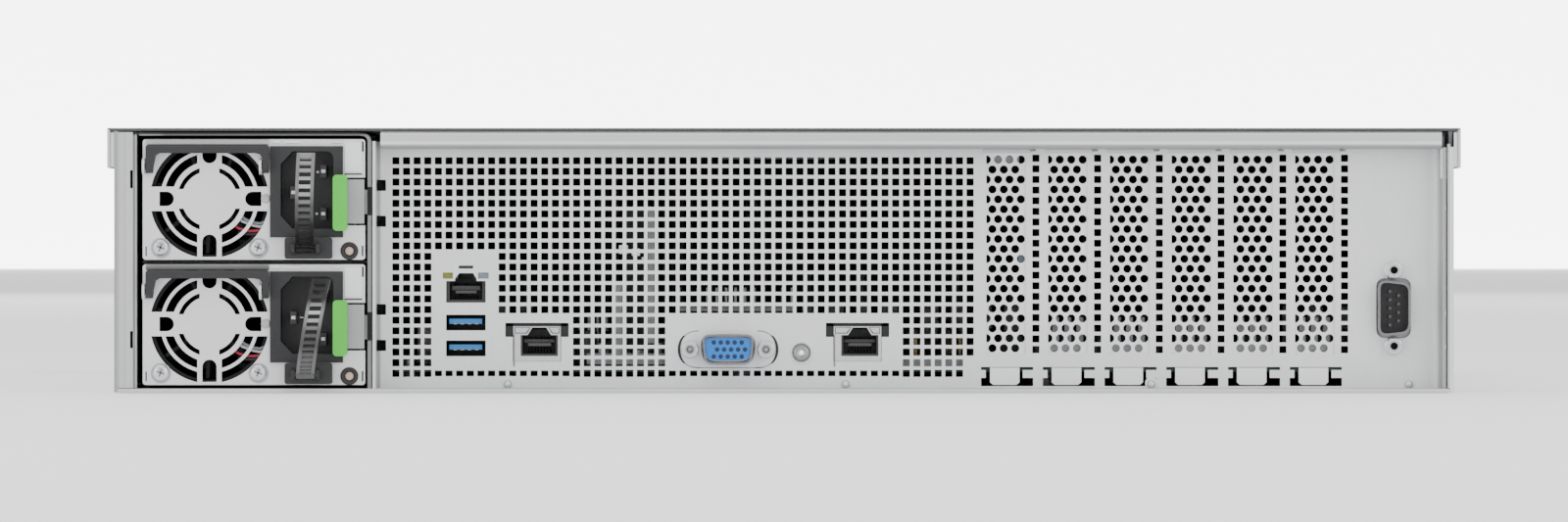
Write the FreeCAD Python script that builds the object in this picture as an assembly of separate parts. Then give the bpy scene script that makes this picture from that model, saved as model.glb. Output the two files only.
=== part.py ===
"""2U rack server, 86.8 mm tall, 439.4 mm wide over the side walls, 690 mm deep from rack face to rear edge.

Row frame, millimetres: +Z up, the server's front (drive bays) faces -Y, its rear (power supplies, ports,
expansion slots) faces +Y.  Seen from the rear, +X is on the left.  The origin is the middle of the overall
box on the plane that the chassis floor rests on.
"""
import FreeCAD
import Part
import math
import os
from FreeCAD import Vector as V

os.makedirs("parts", exist_ok=True)

# ------------------------------------------------------------------ driving dimensions (mm)
H = 86.8                 # overall height
BW = 219.7               # half width over the side walls
CW = 222.0               # half width over the top cover
SHEET = 1.2              # chassis sheet
YR = 345.0               # rear edge of the chassis
YF = -345.0              # front edge of the chassis, on the rack's front face
Y_MAX = 370.0            # foremost/rearmost reach of handles and straps
Y_PANEL = 332.0          # outer face of the recessed rear panel
PITCH = 3.5              # square perforation pitch
SQ = 2.35                # square perforation side
COL0, ROW0 = 127.75, 76.1
SLOT_PITCH = 20.32       # expansion slot pitch
SLOT0 = -73.1            # first expansion slot opening, centre
PSU_W, PSU_H, PSU_D = 73.0, 39.6, 185.0
PSU_X = 210.4            # outer side of both supplies
PSU_Z = (43.5, 2.4)      # undersides: supply 1 above supply 2
PSU_Y = 343.5            # outer face of a supply
COVER_Y0 = -200.0        # front edge of the removable cover
COVER_SLIDE = 14.0
BOARD_Z = 8.2            # top of the system board
FAN_X = (-150.0, -45.0, 60.0)
FAN_S = 80.0
FAN_Y = (-166.0, -128.0)
FAN_ZC = 43.2
BAY_X = (-160.5, -53.6, 53.6, 160.5)
BAY_Z = (2.6, 29.9, 57.2)
BAY_W, BAY_H = 104.6, 26.3
STANDOFFS = [(x, y) for x in (-209.0, -86.3, 14.0, 124.5) for y in (92.0, 190.0, 300.0)] + [(-130.5, -76.0), (14.0, -76.0), (42.5, -76.0)]
DSUB_SCREW = 24.99       # screw spacing of the video and serial ports
BPY = -186.0             # front face of the drive backplane
ILX, ILY = -203.0, -168.0   # cover interlock slide, centre at rest


# ------------------------------------------------------------------ helpers
def B(x0, x1, y0, y1, z0, z1):
    x0, x1 = min(x0, x1), max(x0, x1)
    y0, y1 = min(y0, y1), max(y0, y1)
    z0, z1 = min(z0, z1), max(z0, z1)
    return Part.makeBox(x1 - x0, y1 - y0, z1 - z0, V(x0, y0, z0))


def CY(r, x, z, y0, y1):
    """cylinder along Y"""
    return Part.makeCylinder(r, abs(y1 - y0), V(x, min(y0, y1), z), V(0, 1, 0))


def CZ(r, x, y, z0, z1):
    return Part.makeCylinder(r, abs(z1 - z0), V(x, y, min(z0, z1)), V(0, 0, 1))


def CX(r, y, z, x0, x1):
    return Part.makeCylinder(r, abs(x1 - x0), V(min(x0, x1), y, z), V(1, 0, 0))


def poly_xz(pts, y, rev=False):
    p = [V(a, y, b) for a, b in pts]
    p.append(p[0])
    if rev:
        p = p[::-1]
    return Part.makePolygon(p)


def area2(pts):
    return sum(pts[i][0] * pts[(i + 1) % len(pts)][1] - pts[(i + 1) % len(pts)][0] * pts[i][1] for i in range(len(pts)))


def plate_xz(outer, holes, y0, y1):
    """flat plate in the XZ plane with polygon holes, from y0 to y1"""
    if area2(outer) < 0:
        outer = outer[::-1]
    wires = [poly_xz(outer, y0)]
    for h in holes:
        if area2(h) < 0:
            h = h[::-1]
        wires.append(poly_xz(h, y0, True))
    f = Part.Face(wires)
    return f.extrude(V(0, y1 - y0, 0))


def prism(pts, axis, a0, a1):
    """closed polygon extruded along an axis: 'x' pts are (y,z), 'y' pts are (x,z), 'z' pts are (x,y)"""
    if axis == "x":
        p = [V(a0, a, b) for a, b in pts]
        d = V(a1 - a0, 0, 0)
    elif axis == "y":
        p = [V(a, a0, b) for a, b in pts]
        d = V(0, a1 - a0, 0)
    else:
        p = [V(a, b, a0) for a, b in pts]
        d = V(0, 0, a1 - a0)
    p.append(p[0])
    return Part.Face(Part.makePolygon(p)).extrude(d)


def rect(x0, x1, z0, z1):
    return [(x0, z0), (x1, z0), (x1, z1), (x0, z1)]


def ngon(cx, cz, r, n, turn=0.0):
    return [(cx + r * math.cos(turn + 2 * math.pi * i / n), cz + r * math.sin(turn + 2 * math.pi * i / n)) for i in range(n)]


def rrect(x0, x1, z0, z1, r, n=3):
    out = []
    for cx, cz, a0 in ((x1 - r, z1 - r, 0), (x0 + r, z1 - r, 90), (x0 + r, z0 + r, 180), (x1 - r, z0 + r, 270)):
        for k in range(n + 1):
            a = math.radians(a0 + 90.0 * k / n)
            out.append((cx + r * math.cos(a), cz + r * math.sin(a)))
    return out


def rbox(x0, x1, y0, y1, z0, z1, r, axis="y"):
    """box with its four edges along one axis rounded"""
    b = B(x0, x1, y0, y1, z0, z1)
    es = []
    for e in b.Edges:
        d = e.Vertexes[1].Point.sub(e.Vertexes[0].Point)
        if abs({"x": d.x, "y": d.y, "z": d.z}[axis]) > 1e-6:
            es.append(e)
    return b.makeFillet(r, es)


def fuse(*shapes):
    s = shapes[0]
    if len(shapes) > 1:
        s = s.multiFuse(list(shapes[1:]))
    s = s.removeSplitter()
    if len(s.Solids) == 1:
        return s.Solids[0]
    return s


def cut(a, tools):
    s = a.cut(tools) if isinstance(tools, list) else a.cut([tools])
    if len(s.Solids) == 1:
        return s.Solids[0]
    return s


def save(name, shapes):
    if not isinstance(shapes, (list, tuple)):
        shapes = [shapes]
    solids = []
    for s in shapes:
        solids += s.Solids
    assert solids, name
    for k, s in enumerate(solids):
        if s.Volume <= 0:
            print("NEGATIVE", name, k, s.Volume)
    out = solids[0] if len(solids) == 1 else Part.makeCompound(solids)
    out.exportStep("parts/" + name + ".step")
    print(name, len(solids), round(sum(s.Volume for s in solids) / 1000.0, 2), "cm3", all(s.isClosed() for s in solids))


# ------------------------------------------------------------------ chassis floor
floor = B(-BW + SHEET, BW - SHEET, YF, YR, 0, SHEET)
# shallow embossed standoff bosses under the system board
bosses = [CZ(3.4, x, y, SHEET, BOARD_Z - 1.6) for x, y in STANDOFFS]
save("chassis_base", [floor] + bosses)

# ------------------------------------------------------------------ side walls (left and right, riveted to the floor)
LIP = 8.0
pins_y = (-170.0, 20.0, 230.0)


def side_wall(s):
    """s = +1 at +X (the power supply side), -1 at -X; web, folds, pins and studs as abutting solids"""
    xi, xo = s * (BW - SHEET), s * BW
    out = [B(s * (BW - LIP), xi, BPY, YR - 26, H - 1.1 - SHEET, H - 1.1)]
    if s > 0:
        out.append(B(xi, xo, YF, YR, 0, H - 1.1))
    else:
        # the upper rear corner of this wall is notched
        out.append(B(xi, xo, YF, YR - 10.0, 0, H - 1.1))
        out.append(B(xi, xo, YR - 10.0, YR, 0, 80.5))
    if s > 0:
        # broad rear return flange with a second, set-back fold and two latch notches beside the supplies
        out.append(B(214.45, xi, YR - 1.0, YR, 1.4, 85.4))
        out.append(B(212.4, 213.6, YR - 7.0, YR - 1.0, 1.4, 84.6))
        for z0, z1 in ((1.4, 14.5), (20.1, 67.0), (72.9, 85.4)):
            out.append(B(213.6, 214.45, YR - 1.0, YR, z0, z1))
            out.append(B(213.6, 214.45, YR - 3.0, YR - 1.0, z0, min(z1, 84.6)))
    else:
        # narrow closed hem at the rear edge, and the shelf that guides the cover's interlock slide
        out.append(B(-217.6, xi, YR - 6.0, YR, 1.4, 81.5))
        out.append(B(xi, -193.0, ILY - 14.0, ILY + 26.0, 73.0, 74.2))
        out.append(B(xi, -212.0, ILY - 14.0, ILY + 26.0, 74.2, 81.4))
    # shoulder pins that the cover's slots ride on
    out += [CX(2.0, y, 79.6, xo, s * (BW + 2.25)) for y in pins_y]
    # headed studs for the rack's inner rails
    for y in (-290.0, -60.0, 120.0, 290.0):
        out.append(CX(2.6, y, 38.0, xo, s * (BW + 1.5)))
        out.append(CX(4.4, y, 38.0, s * (BW + 1.5), s * (BW + 2.3)))
    return out


save("side_walls", side_wall(1) + side_wall(-1))

# ------------------------------------------------------------------ rear panel with square perforation and port cut-outs
holes = []
for i in range(55):
    for j in range(21):
        if 4 <= i <= 9 and 9 <= j <= 19:
            continue
        if 10 <= i <= 16 and 15 <= j <= 19:
            continue
        if 26 <= i <= 47 and 15 <= j <= 19:
            continue
        if i == 54 and j >= 19:
            continue
        cx, cz = COL0 - PITCH * i, ROW0 - PITCH * j
        hz = SQ / 2 if not (j == 20 and (4 <= i <= 16 or 26 <= i <= 47)) else SQ / 2 - 0.25
        holes.append(rect(cx - SQ / 2, cx + SQ / 2, cz - hz, cz + hz))
# management network jack, its latch slot and the two USB sockets under it
holes.append([(111.2, 29.4), (98.2, 29.4), (98.2, 36.5), (101.2, 36.5), (101.2, 37.3), (102.3, 39.1), (106.9, 39.1), (108.3, 37.3),
              (108.3, 36.5), (111.2, 36.5)])
holes.append(rect(109.0, 112.3, 37.3, 39.3))
holes.append(rect(97.2, 100.7, 37.3, 39.3))
holes.append(rect(102.3, 107.1, 40.6, 41.6))
holes.append(rect(98.2, 111.2, 20.2, 25.4))
holes.append(rect(98.2, 111.2, 11.7, 16.9))


def lan_cut(cx):
    return [(cx - 7.95, 10.0), (cx + 7.95, 10.0), (cx + 7.95, 18.1), (cx + 10.4, 18.1), (cx + 10.4, 22.7),
            (cx - 10.4, 22.7), (cx - 10.4, 18.1), (cx - 7.95, 18.1)]


LAN_X = (81.3, -24.2)
for cx in LAN_X:
    holes.append(lan_cut(cx))
VGA_X, VGA_Z = 18.4, 14.0
holes.append(rrect(VGA_X - 16.4, VGA_X + 16.4, VGA_Z - 6.2, VGA_Z + 6.2, 6.1, 6))
ID_X, ID_Z = -5.7, 12.9
holes.append(ngon(ID_X, ID_Z, 3.0, 24))
COM_X, COM_Z = -200.6, 27.6
holes.append(rrect(COM_X - 5.7, COM_X + 5.7, COM_Z - 9.9, COM_Z + 9.9, 2.6, 4))
for dz in (DSUB_SCREW / 2, -DSUB_SCREW / 2):
    holes.append(ngon(COM_X, COM_Z + dz, 2.0, 16))
# expansion slot openings, the square columns between them and the bracket foot openings
for k in range(6):
    c = SLOT0 - SLOT_PITCH * k
    holes.append(rect(c - 6.5, c + 6.5, 12.4, 78.4))
    for j in range(19):
        cz = 76.94 - PITCH * j
        x = -82.9 - SLOT_PITCH * k
        holes.append(rect(x - SQ / 2, x + SQ / 2, cz - SQ / 2, cz + SQ / 2))
    holes.append([(c + 8.25, 1.9), (c + 8.25, 4.6), (c + 6.7, 4.6), (c + 6.7, 7.2), (c + 8.25, 7.2), (c + 8.25, 8.2),
                  (c - 8.9, 8.2), (c - 8.9, 7.2), (c - 5.5, 7.2), (c - 5.5, 4.6), (c - 8.9, 4.6), (c - 8.9, 1.9)])
    holes.append([(c - 6.9, 80.2), (c - 9.5, 80.2), (c - 9.5, 79.2), (c - 8.4, 79.2)])
# key holes beside the supply cage run through the plate's edge into the bend
X_LB = 132.8
KEYS = ((66.2, 69.85), (54.4, 58.0), (25.4, 28.9), (13.5, 17.1))
edge = [(X_LB, 84.2)]
for z0, z1 in KEYS:
    edge += [(X_LB, z1), (X_LB - 1.8, z1), (X_LB - 1.8, z0), (X_LB, z0)]
edge.append((X_LB, 1.25))
plate = plate_xz(edge + [(-213.0, 1.25), (-213.0, 84.2)], holes, Y_PANEL - 1.0, Y_PANEL)


def bend(x_c, y_c, r_in, r_out, sx, a0, a1, n=5):
    """faceted quarter bend in plan: centre of the bend, radii, sx = which way the flange goes"""
    pts = []
    for k in range(n + 1):
        a = math.radians(a0 + (a1 - a0) * k / n)
        pts.append((x_c + sx * r_in * math.sin(a), y_c - r_in * math.cos(a)))
    for k in range(n, -1, -1):
        a = math.radians(a0 + (a1 - a0) * k / n)
        pts.append((x_c + sx * r_out * math.sin(a), y_c - r_out * math.cos(a)))
    return pts


# the plate's sides bend towards the rear and lie along the side wall and the supply cage
rb = bend(-213.0, Y_PANEL + 3.2, 3.2, 4.2, -1, 0, 90)
right_bend = prism(rb, "z", 1.25, 84.2)
right_leg = B(-217.2, -216.2, Y_PANEL + 3.2, YR - 1.2, 1.25, 80.4)
lb = bend(X_LB, Y_PANEL + 1.2, 1.2, 2.2, 1, 0, 90)
left_bend = fuse(prism(lb, "z", 1.25, 82.4), B(X_LB + 1.2, X_LB + 2.2, Y_PANEL + 1.2, YR - 0.6, 1.25, 82.4))
left_bend = cut(left_bend, [B(X_LB - 1, X_LB + 3, Y_PANEL - 2, Y_PANEL + 2.4, z0, z1) for z0, z1 in KEYS])
save("rear_panel", [plate, fuse(right_bend, right_leg), left_bend])

# ------------------------------------------------------------------ rear top rail
rail_pts = [(YR - 0.8, 80.9), (YR - 0.8, 85.0), (YR - 1.4, 85.55), (Y_PANEL - 6.0, 85.55), (Y_PANEL - 6.0, 84.45),
            (YR - 1.9, 84.45), (YR - 1.9, 81.6), (YR - 2.8, 80.9), (Y_PANEL + 3.0, 80.9), (Y_PANEL + 3.0, 79.9),
            (YR - 2.3, 79.9)]
rail = prism(rail_pts, "x", -215.8, 132.4)
save("rear_top_rail", rail)

# ------------------------------------------------------------------ power supply cage
CAGE_Y0 = 150.0
WX0, WX1 = 135.4, 136.6
WIN = [(z0 + 14.0, z0 + 24.0) for z0 in sorted(PSU_Z)]       # windows for the supplies' catches
cage = [B(WX0, WX1, CAGE_Y0, YR - 8.0, 1.25, 82.5), B(WX0, WX1, YR - 3.0, YR - 0.6, 1.25, 82.5)]
for z0, z1 in ((1.25, WIN[0][0]), (WIN[0][1], WIN[1][0]), (WIN[1][1], 82.5)):
    cage.append(B(WX0, WX1, YR - 8.0, YR - 3.0, z0, z1))
cage.append(B(139.3, 211.5, CAGE_Y0, YR - 0.6, 84.3, 85.3))
ci_ = [(136.6, 82.5), (136.9, 83.4), (137.5, 84.0), (139.3, 84.3)]
co_ = [(135.4, 82.5), (135.9, 83.9), (137.2, 85.0), (139.3, 85.3)]
for q in range(3):
    cage.append(prism([co_[q], ci_[q], ci_[q + 1], co_[q + 1]], "y", CAGE_Y0, YR - 0.6))
cage.append(B(WX1, 211.5, CAGE_Y0, YR - 20.0, 42.35, 43.15))
save("psu_cage", cage)

# ------------------------------------------------------------------ six perforated slot covers
covers = []
for k in range(6):
    c = SLOT0 - SLOT_PITCH * k
    sh = -0.35 if k in (3, 4) else 0.0
    hs = []
    for j in range(20):
        cz = 76.5 - 3.27 * j
        offs = (6.36, 2.61, -1.14, -4.89) if j % 2 == 0 else (4.48, 0.73, -3.02)
        for o in offs:
            hs.append(ngon(c + o + sh, cz, 1.42, 8, math.pi / 8))
    y0, y1 = Y_PANEL - 2.0, Y_PANEL - 1.05
    body = plate_xz([(c + 8.6, 10.6), (c + 8.6, 81.0), (c - 8.65, 81.0), (c - 8.65, 10.6), (c - 4.4, 10.6), (c - 4.4, 3.0), (c + 5.3, 3.0), (c + 5.3, 10.6)],
                    hs, y0, y1)
    # the foot is a tongue that comes through the panel's lower opening
    foot = prism([(c + 5.3, 7.9), (c + 5.3, 3.2), (c + 4.3, 2.3), (c - 3.4, 2.3), (c - 4.4, 3.2), (c - 4.4, 7.9)], "y", y1 - 0.05, Y_PANEL + 0.25)
    body = body.fuse(foot)
    covers.append(body.Solids[0])
save("slot_covers", covers)

# ------------------------------------------------------------------ system board and what is soldered to it
BX0, BX1, BY0, BY1 = -213.0, 128.0, -88.0, 328.0
board = B(BX0, BX1, BY0, BY1, BOARD_Z - 1.6, BOARD_Z)
bh = [CZ(1.6, x, y, BOARD_Z - 3, BOARD_Z + 1) for x, y in STANDOFFS]
board = cut(board, bh)
save("motherboard", board)

JY0, JY1 = 306.0, 331.6     # depth of the port shells behind the panel


def jack_cavity(cx, z0, w, h_main, notch_w, h_notch, depth, y1):
    return fuse(B(cx - w / 2, cx + w / 2, y1 - depth, y1 + 1, z0, z0 + h_main),
                B(cx - notch_w / 2, cx + notch_w / 2, y1 - depth, y1 + 1, z0 + h_main - 0.5, z0 + h_notch))


# upper management jack stands on the USB stack
lan0 = cut(B(96.8, 112.6, JY0, Y_PANEL - 1.05, 27.4, 42.6), jack_cavity(104.7, 29.5, 12.6, 7.8, 5.0, 9.8, 17.0, Y_PANEL - 1.05))
jacks = [lan0]
for cx in LAN_X:
    j = cut(B(cx - 7.8, cx + 7.8, JY0, Y_PANEL + 0.2, BOARD_Z + 0.05, 21.6),
            [B(cx - 6.875, cx + 5.375, Y_PANEL - 16.8, Y_PANEL + 1, 11.8, 18.7),
             prism([(cx - 4.65, 18.6), (cx + 3.15, 18.6), (cx + 1.55, 21.2), (cx - 3.05, 21.2)], "y", Y_PANEL - 16.8, Y_PANEL + 1),
             B(cx - 9, cx + 9, Y_PANEL - 1.1, Y_PANEL + 1, 8.0, 10.15)])
    jacks.append(j)
save("lan_jacks", jacks)

usb = []
usb_shell = cut(B(97.2, 112.2, JY0, Y_PANEL - 1.05, BOARD_Z + 0.05, 27.3),
                [B(98.1, 111.3, JY0 + 6, Y_PANEL + 1, 20.1, 25.5), B(98.1, 111.3, JY0 + 6, Y_PANEL + 1, 11.6, 17.0)])
usb.append(usb_shell)
for z in (22.4, 13.9):
    usb.append(B(99.4, 110.25, JY0 + 6, Y_PANEL - 2.2, z, z + 1.7))
save("usb_ports", usb)


def dsub_outline(w_wide, w_narrow, h, r, n=3):
    """D outline, wide side up, centred"""
    hw, nw, hh = w_wide / 2.0, w_narrow / 2.0, h / 2.0
    corners = [(hw, hh), (-hw, hh), (-nw, -hh), (nw, -hh)]
    out = []
    m = len(corners)
    for i in range(m):
        p0, p1, p2 = corners[i - 1], corners[i], corners[(i + 1) % m]
        d0 = (p0[0] - p1[0], p0[1] - p1[1])
        d2 = (p2[0] - p1[0], p2[1] - p1[1])
        l0, l2 = math.hypot(*d0), math.hypot(*d2)
        d0 = (d0[0] / l0, d0[1] / l0)
        d2 = (d2[0] / l2, d2[1] / l2)
        a = (p1[0] + d0[0] * r, p1[1] + d0[1] * r)
        b = (p1[0] + d2[0] * r, p1[1] + d2[1] * r)
        for k in range(n + 1):
            t = k / n
            out.append(((1 - t) ** 2 * a[0] + 2 * t * (1 - t) * p1[0] + t * t * b[0],
                        (1 - t) ** 2 * a[1] + 2 * t * (1 - t) * p1[1] + t * t * b[1]))
    return out


def xf(pts, cx, cz, turn=0, flip=1):
    a = math.radians(turn)
    return [(cx + flip * (x * math.cos(a) - z * math.sin(a)), cz + x * math.sin(a) + z * math.cos(a)) for x, z in pts]


# 15-pin video port: flange, shell rim, blue insert with pin holes, two jack screws
vy = Y_PANEL
vga_flange = prism(rrect(VGA_X - 16.1, VGA_X + 16.1, VGA_Z - 5.9, VGA_Z + 5.9, 5.8, 6), "y", vy - 1.1, vy - 0.1)
vga_rim_o = prism(xf(dsub_outline(17.2, 15.4, 9.8, 2.4), VGA_X, VGA_Z), "y", vy - 1.1, vy + 5.6)
vga_rim_i = prism(xf(dsub_outline(15.9, 14.1, 8.5, 2.0), VGA_X, VGA_Z), "y", vy - 2.0, vy + 6.0)
vga_body = B(VGA_X - 15.4, VGA_X + 15.4, vy - 13.0, vy - 1.1, BOARD_Z + 0.05, VGA_Z + 6.0)
vga_shell = cut(fuse(vga_flange, vga_rim_o), [vga_rim_i, CY(1.55, VGA_X - DSUB_SCREW / 2, VGA_Z, vy - 3, vy + 1), CY(1.55, VGA_X + DSUB_SCREW / 2, VGA_Z, vy - 3, vy + 1)])
ins = prism(xf(dsub_outline(15.8, 14.0, 8.4, 2.0), VGA_X, VGA_Z), "y", vy - 1.1, vy + 4.9)
pin = []
for r_, (dz, off) in enumerate(((2.3, 0.1), (0.0, -1.0), (-2.3, 0.1))):
    for c_ in range(5):
        pin.append(CY(0.5, VGA_X + (c_ - 2) * 2.29 + off, VGA_Z + dz, vy + 1.0, vy + 6.0))
ins = cut(ins, pin)


def jack_screw(cx, cz, y_base, reach=4.6):
    s = prism(ngon(cx, cz, 2.75, 6), "y", y_base, y_base + reach)
    s = fuse(s, CY(1.5, cx, cz, y_base - 6.0, y_base + 0.1))
    return cut(s, CY(1.25, cx, cz, y_base + 0.4, y_base + reach + 1))


vga = [vga_shell, ins, jack_screw(VGA_X - DSUB_SCREW / 2, VGA_Z, vy), jack_screw(VGA_X + DSUB_SCREW / 2, VGA_Z, vy)]
vga_body = cut(vga_body, [CY(1.55, VGA_X - DSUB_SCREW / 2, VGA_Z, vy - 8, vy + 1), CY(1.55, VGA_X + DSUB_SCREW / 2, VGA_Z, vy - 8, vy + 1)])
vga.append(vga_body)
save("vga_port", vga)

# 9-pin serial port, standing upright, wired to the panel
sy = Y_PANEL
# wide side towards +X (left as seen from the rear)
s_out = xf(dsub_outline(18.6, 16.6, 10.6, 2.8), COM_X, COM_Z, -90)
s_in = xf(dsub_outline(17.2, 15.2, 9.2, 2.3), COM_X, COM_Z, -90)
ser_shell = cut(prism(s_out, "y", sy - 2.2, sy + 5.8), [prism(s_in, "y", sy - 0.6, sy + 6.5)])
ser_flange = cut(B(COM_X - 6.2, COM_X + 6.2, sy - 3.2, sy - 2.2, COM_Z - 15.4, COM_Z + 15.4),
                 [CY(1.55, COM_X, COM_Z + DSUB_SCREW / 2, sy - 4, sy), CY(1.55, COM_X, COM_Z - DSUB_SCREW / 2, sy - 4, sy)])
ser_body = B(COM_X - 5.6, COM_X + 5.6, sy - 10.0, sy - 3.2, COM_Z - 9.6, COM_Z + 9.6)
ser = [fuse(ser_shell, ser_flange), ser_body]
for q in range(5):
    ser.append(CY(0.5, COM_X + 1.42, COM_Z + (q - 2) * 2.76, sy - 0.6, sy + 4.6))
for q in range(4):
    ser.append(CY(0.5, COM_X - 1.42, COM_Z + (q - 1.5) * 2.76, sy - 0.6, sy + 4.6))
for dz in (DSUB_SCREW / 2, -DSUB_SCREW / 2):
    ser.append(jack_screw(COM_X, COM_Z + dz, sy, 4.2))
save("serial_port", ser)

# processors in their sockets, heat sinks over them
CPU = ((42.5, -12.0), (-130.5, -12.0))
procs, sinks = [], []
for cx, cy in CPU:
    procs.append(fuse(B(cx - 38, cx + 38, cy - 34, cy + 34, BOARD_Z + 0.05, BOARD_Z + 3.2),
                      B(cx - 30, cx + 30, cy - 26, cy + 26, BOARD_Z + 3.1, BOARD_Z + 5.6)))
    base = B(cx - 40, cx + 40, cy - 45, cy + 45, BOARD_Z + 5.65, BOARD_Z + 11.0)
    fins = [B(cx - 39.6 + 3.3 * k, cx - 39.6 + 3.3 * k + 0.8, cy - 45, cy + 45, BOARD_Z + 10.9, 70.0) for k in range(25)]
    sinks.append(fuse(base, *fins))
save("processors", procs)
save("cpu_heatsinks", sinks)

# memory: eight sockets each side of a processor are reduced to four per side, sixteen in all
DIMM_X = [120.0, 110.5, 101.0, 91.5, -9.0, -18.5, -28.0, -37.5, -52.0, -61.5, -71.0, -80.5, -179.0, -188.0, -197.0, -206.0]
DY = (-80.0, 61.6)
sockets, modules = [], []
for x in DIMM_X:
    s = cut(fuse(B(x - 3.3, x + 3.3, DY[0], DY[1], BOARD_Z + 0.05, BOARD_Z + 5.2),
                 B(x - 2.6, x + 2.6, DY[0], DY[0] + 5.4, BOARD_Z + 5.1, BOARD_Z + 19.0),
                 B(x - 2.6, x + 2.6, DY[1] - 5.4, DY[1], BOARD_Z + 5.1, BOARD_Z + 19.0)),
            B(x - 0.8, x + 0.8, DY[0] + 3.6, DY[1] - 3.6, BOARD_Z + 2.0, BOARD_Z + 20.0))
    sockets.append(s)
    m = fuse(B(x - 0.65, x + 0.65, DY[0] + 4.15, DY[1] - 4.15, BOARD_Z + 2.2, BOARD_Z + 31.0),
             *[B(x - 1.5, x - 0.6, DY[0] + 12 + 13.2 * q, DY[0] + 21 + 13.2 * q, BOARD_Z + 13.0, BOARD_Z + 24.0) for q in range(9)])
    modules.append(m)
# expansion card sockets, one behind each slot cover
for k in range(6):
    x = SLOT0 - SLOT_PITCH * k - 3.0
    sockets.append(cut(B(x - 3.7, x + 3.7, 186.0, 275.0, BOARD_Z + 0.05, BOARD_Z + 11.2),
                       B(x - 0.9, x + 0.9, 188.0, 273.0, BOARD_Z + 2.5, BOARD_Z + 12.0)))
save("board_sockets", sockets)
save("memory_modules", modules)

# ------------------------------------------------------------------ system fans
FZ0, FZ1 = FAN_ZC - 40, FAN_ZC + 40
bracket = [cut(B(-212.0, 136.0, FAN_Y[1] + 0.4, FAN_Y[1] + 1.6, 1.25, 84.0), [CY(38.6, x, FAN_ZC, FAN_Y[1] - 1, FAN_Y[1] + 3) for x in FAN_X]),
           B(-212.0, 104.0, FAN_Y[0], FAN_Y[1] + 0.4, 1.25, 2.6)]
bracket += [B(x - 42.2, x - 41.0, FAN_Y[0], FAN_Y[1] + 0.4, 2.6, 60.0) for x in FAN_X]
save("fan_bracket", bracket)


def fan_frame(x, zc, s, y0, y1, r_bore, corner_r, motor_r, hole_r, hole_p, strut_w=3.0):
    f = rbox(x - s / 2, x + s / 2, y0, y1, zc - s / 2, zc + s / 2, corner_r, "y")
    f = cut(f, [CY(r_bore, x, zc, y0 - 1, y1 + 1)])
    f = cut(f, [CY(hole_r, x + a * hole_p / 2, zc + b * hole_p / 2, y0 - 1, y1 + 1) for a in (-1, 1) for b in (-1, 1)])
    hub = CY(motor_r, x, zc, y0, y0 + 3.0)
    struts = []
    for a in (45, 135, 225, 315):
        b = B(x + motor_r - 0.6, x + r_bore + 0.6, y0, y0 + 2.6, zc - strut_w / 2, zc + strut_w / 2)
        b.rotate(V(x, 0, zc), V(0, 1, 0), a)
        struts.append(b)
    axle = CY(1.5, x, zc, y0 + 2.9, y1 - 6.6)
    return fuse(f, hub, axle, *struts)


def rotor(x, zc, r_tip, r_hub, y0, y1, blades, bore_r=1.56, twist=38.0):
    """hub cup and swept blades, spinning about Y"""
    hub = CY(r_hub, x, zc, y0, y1)
    parts = [hub]
    for k in range(blades):
        a0 = 360.0 * k / blades
        # blade: a leaning slab from the hub to the tip
        pts = []
        depth = y1 - y0 - 1.0
        half = 0.62
        span = math.radians(360.0 / blades * 0.62)
        wires = []
        for r in (r_hub - 0.6, r_tip):
            w = r * span / 2.0
            t = 0.75 if r < r_tip else 0.55
            p = [V(x + r, y0 + 0.5, zc - w - t), V(x + r, y0 + 0.5, zc - w + t),
                 V(x + r, y1 - 0.5, zc + w + t), V(x + r, y1 - 0.5, zc + w - t)]
            p.append(p[0])
            wires.append(Part.makePolygon(p))
        b = Part.makeLoft(wires, True, True)
        b.rotate(V(x, 0, zc), V(0, 1, 0), a0)
        parts.append(b)
    s = fuse(*parts)
    ring = CY(r_tip, x, zc, y0 - 1, y1 + 1)
    s = s.common(ring)
    s = cut(s, [CY(bore_r, x, zc, y0 - 1, y1 - 4.2)])
    return s.Solids[0] if len(s.Solids) == 1 else s


frames = []
for n, x in enumerate(FAN_X):
    frames.append(fan_frame(x, FAN_ZC, FAN_S, FAN_Y[0] + 0.2, FAN_Y[1], 38.4, 5.0, 18.0, 2.15, 71.5))
    save("fan_rotor_%d" % (n + 1), rotor(x, FAN_ZC, 37.4, 17.4, FAN_Y[0] + 4.2, FAN_Y[1] - 1.6, 7))
save("fan_frames", frames)

# ------------------------------------------------------------------ drive cage, backplane, drives
cage_parts = []
CAGE_X = (-214.4, -107.8, -0.6, 106.6, 213.2)
for x in CAGE_X:
    cage_parts.append(B(x, x + 1.2, -350.0, BPY - 1.2, 1.25, 84.2))
for xa, xb in zip(CAGE_X[:-1], CAGE_X[1:]):
    cage_parts += [B(xa + 1.2, xb, -348.0, BPY - 1.2, z - 1.05, z - 0.35) for z in BAY_Z[1:]]
cage_parts.append(B(-214.4, 214.4, -348.0, BPY - 1.2, 84.2, 85.0))
# fixed front part of the top with its skirts
cage_parts.append(B(-BW + SHEET, BW - SHEET, -346.0, COVER_Y0 - 0.4, H - 1.0, H))
cage_parts += [B(s * (BW - SHEET - 1.2), s * (BW - SHEET - 0.05), -346.0, COVER_Y0 - 0.4, H - 8.0, H - 1.0) for s in (-1, 1)]
save("drive_cage", cage_parts)

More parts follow.
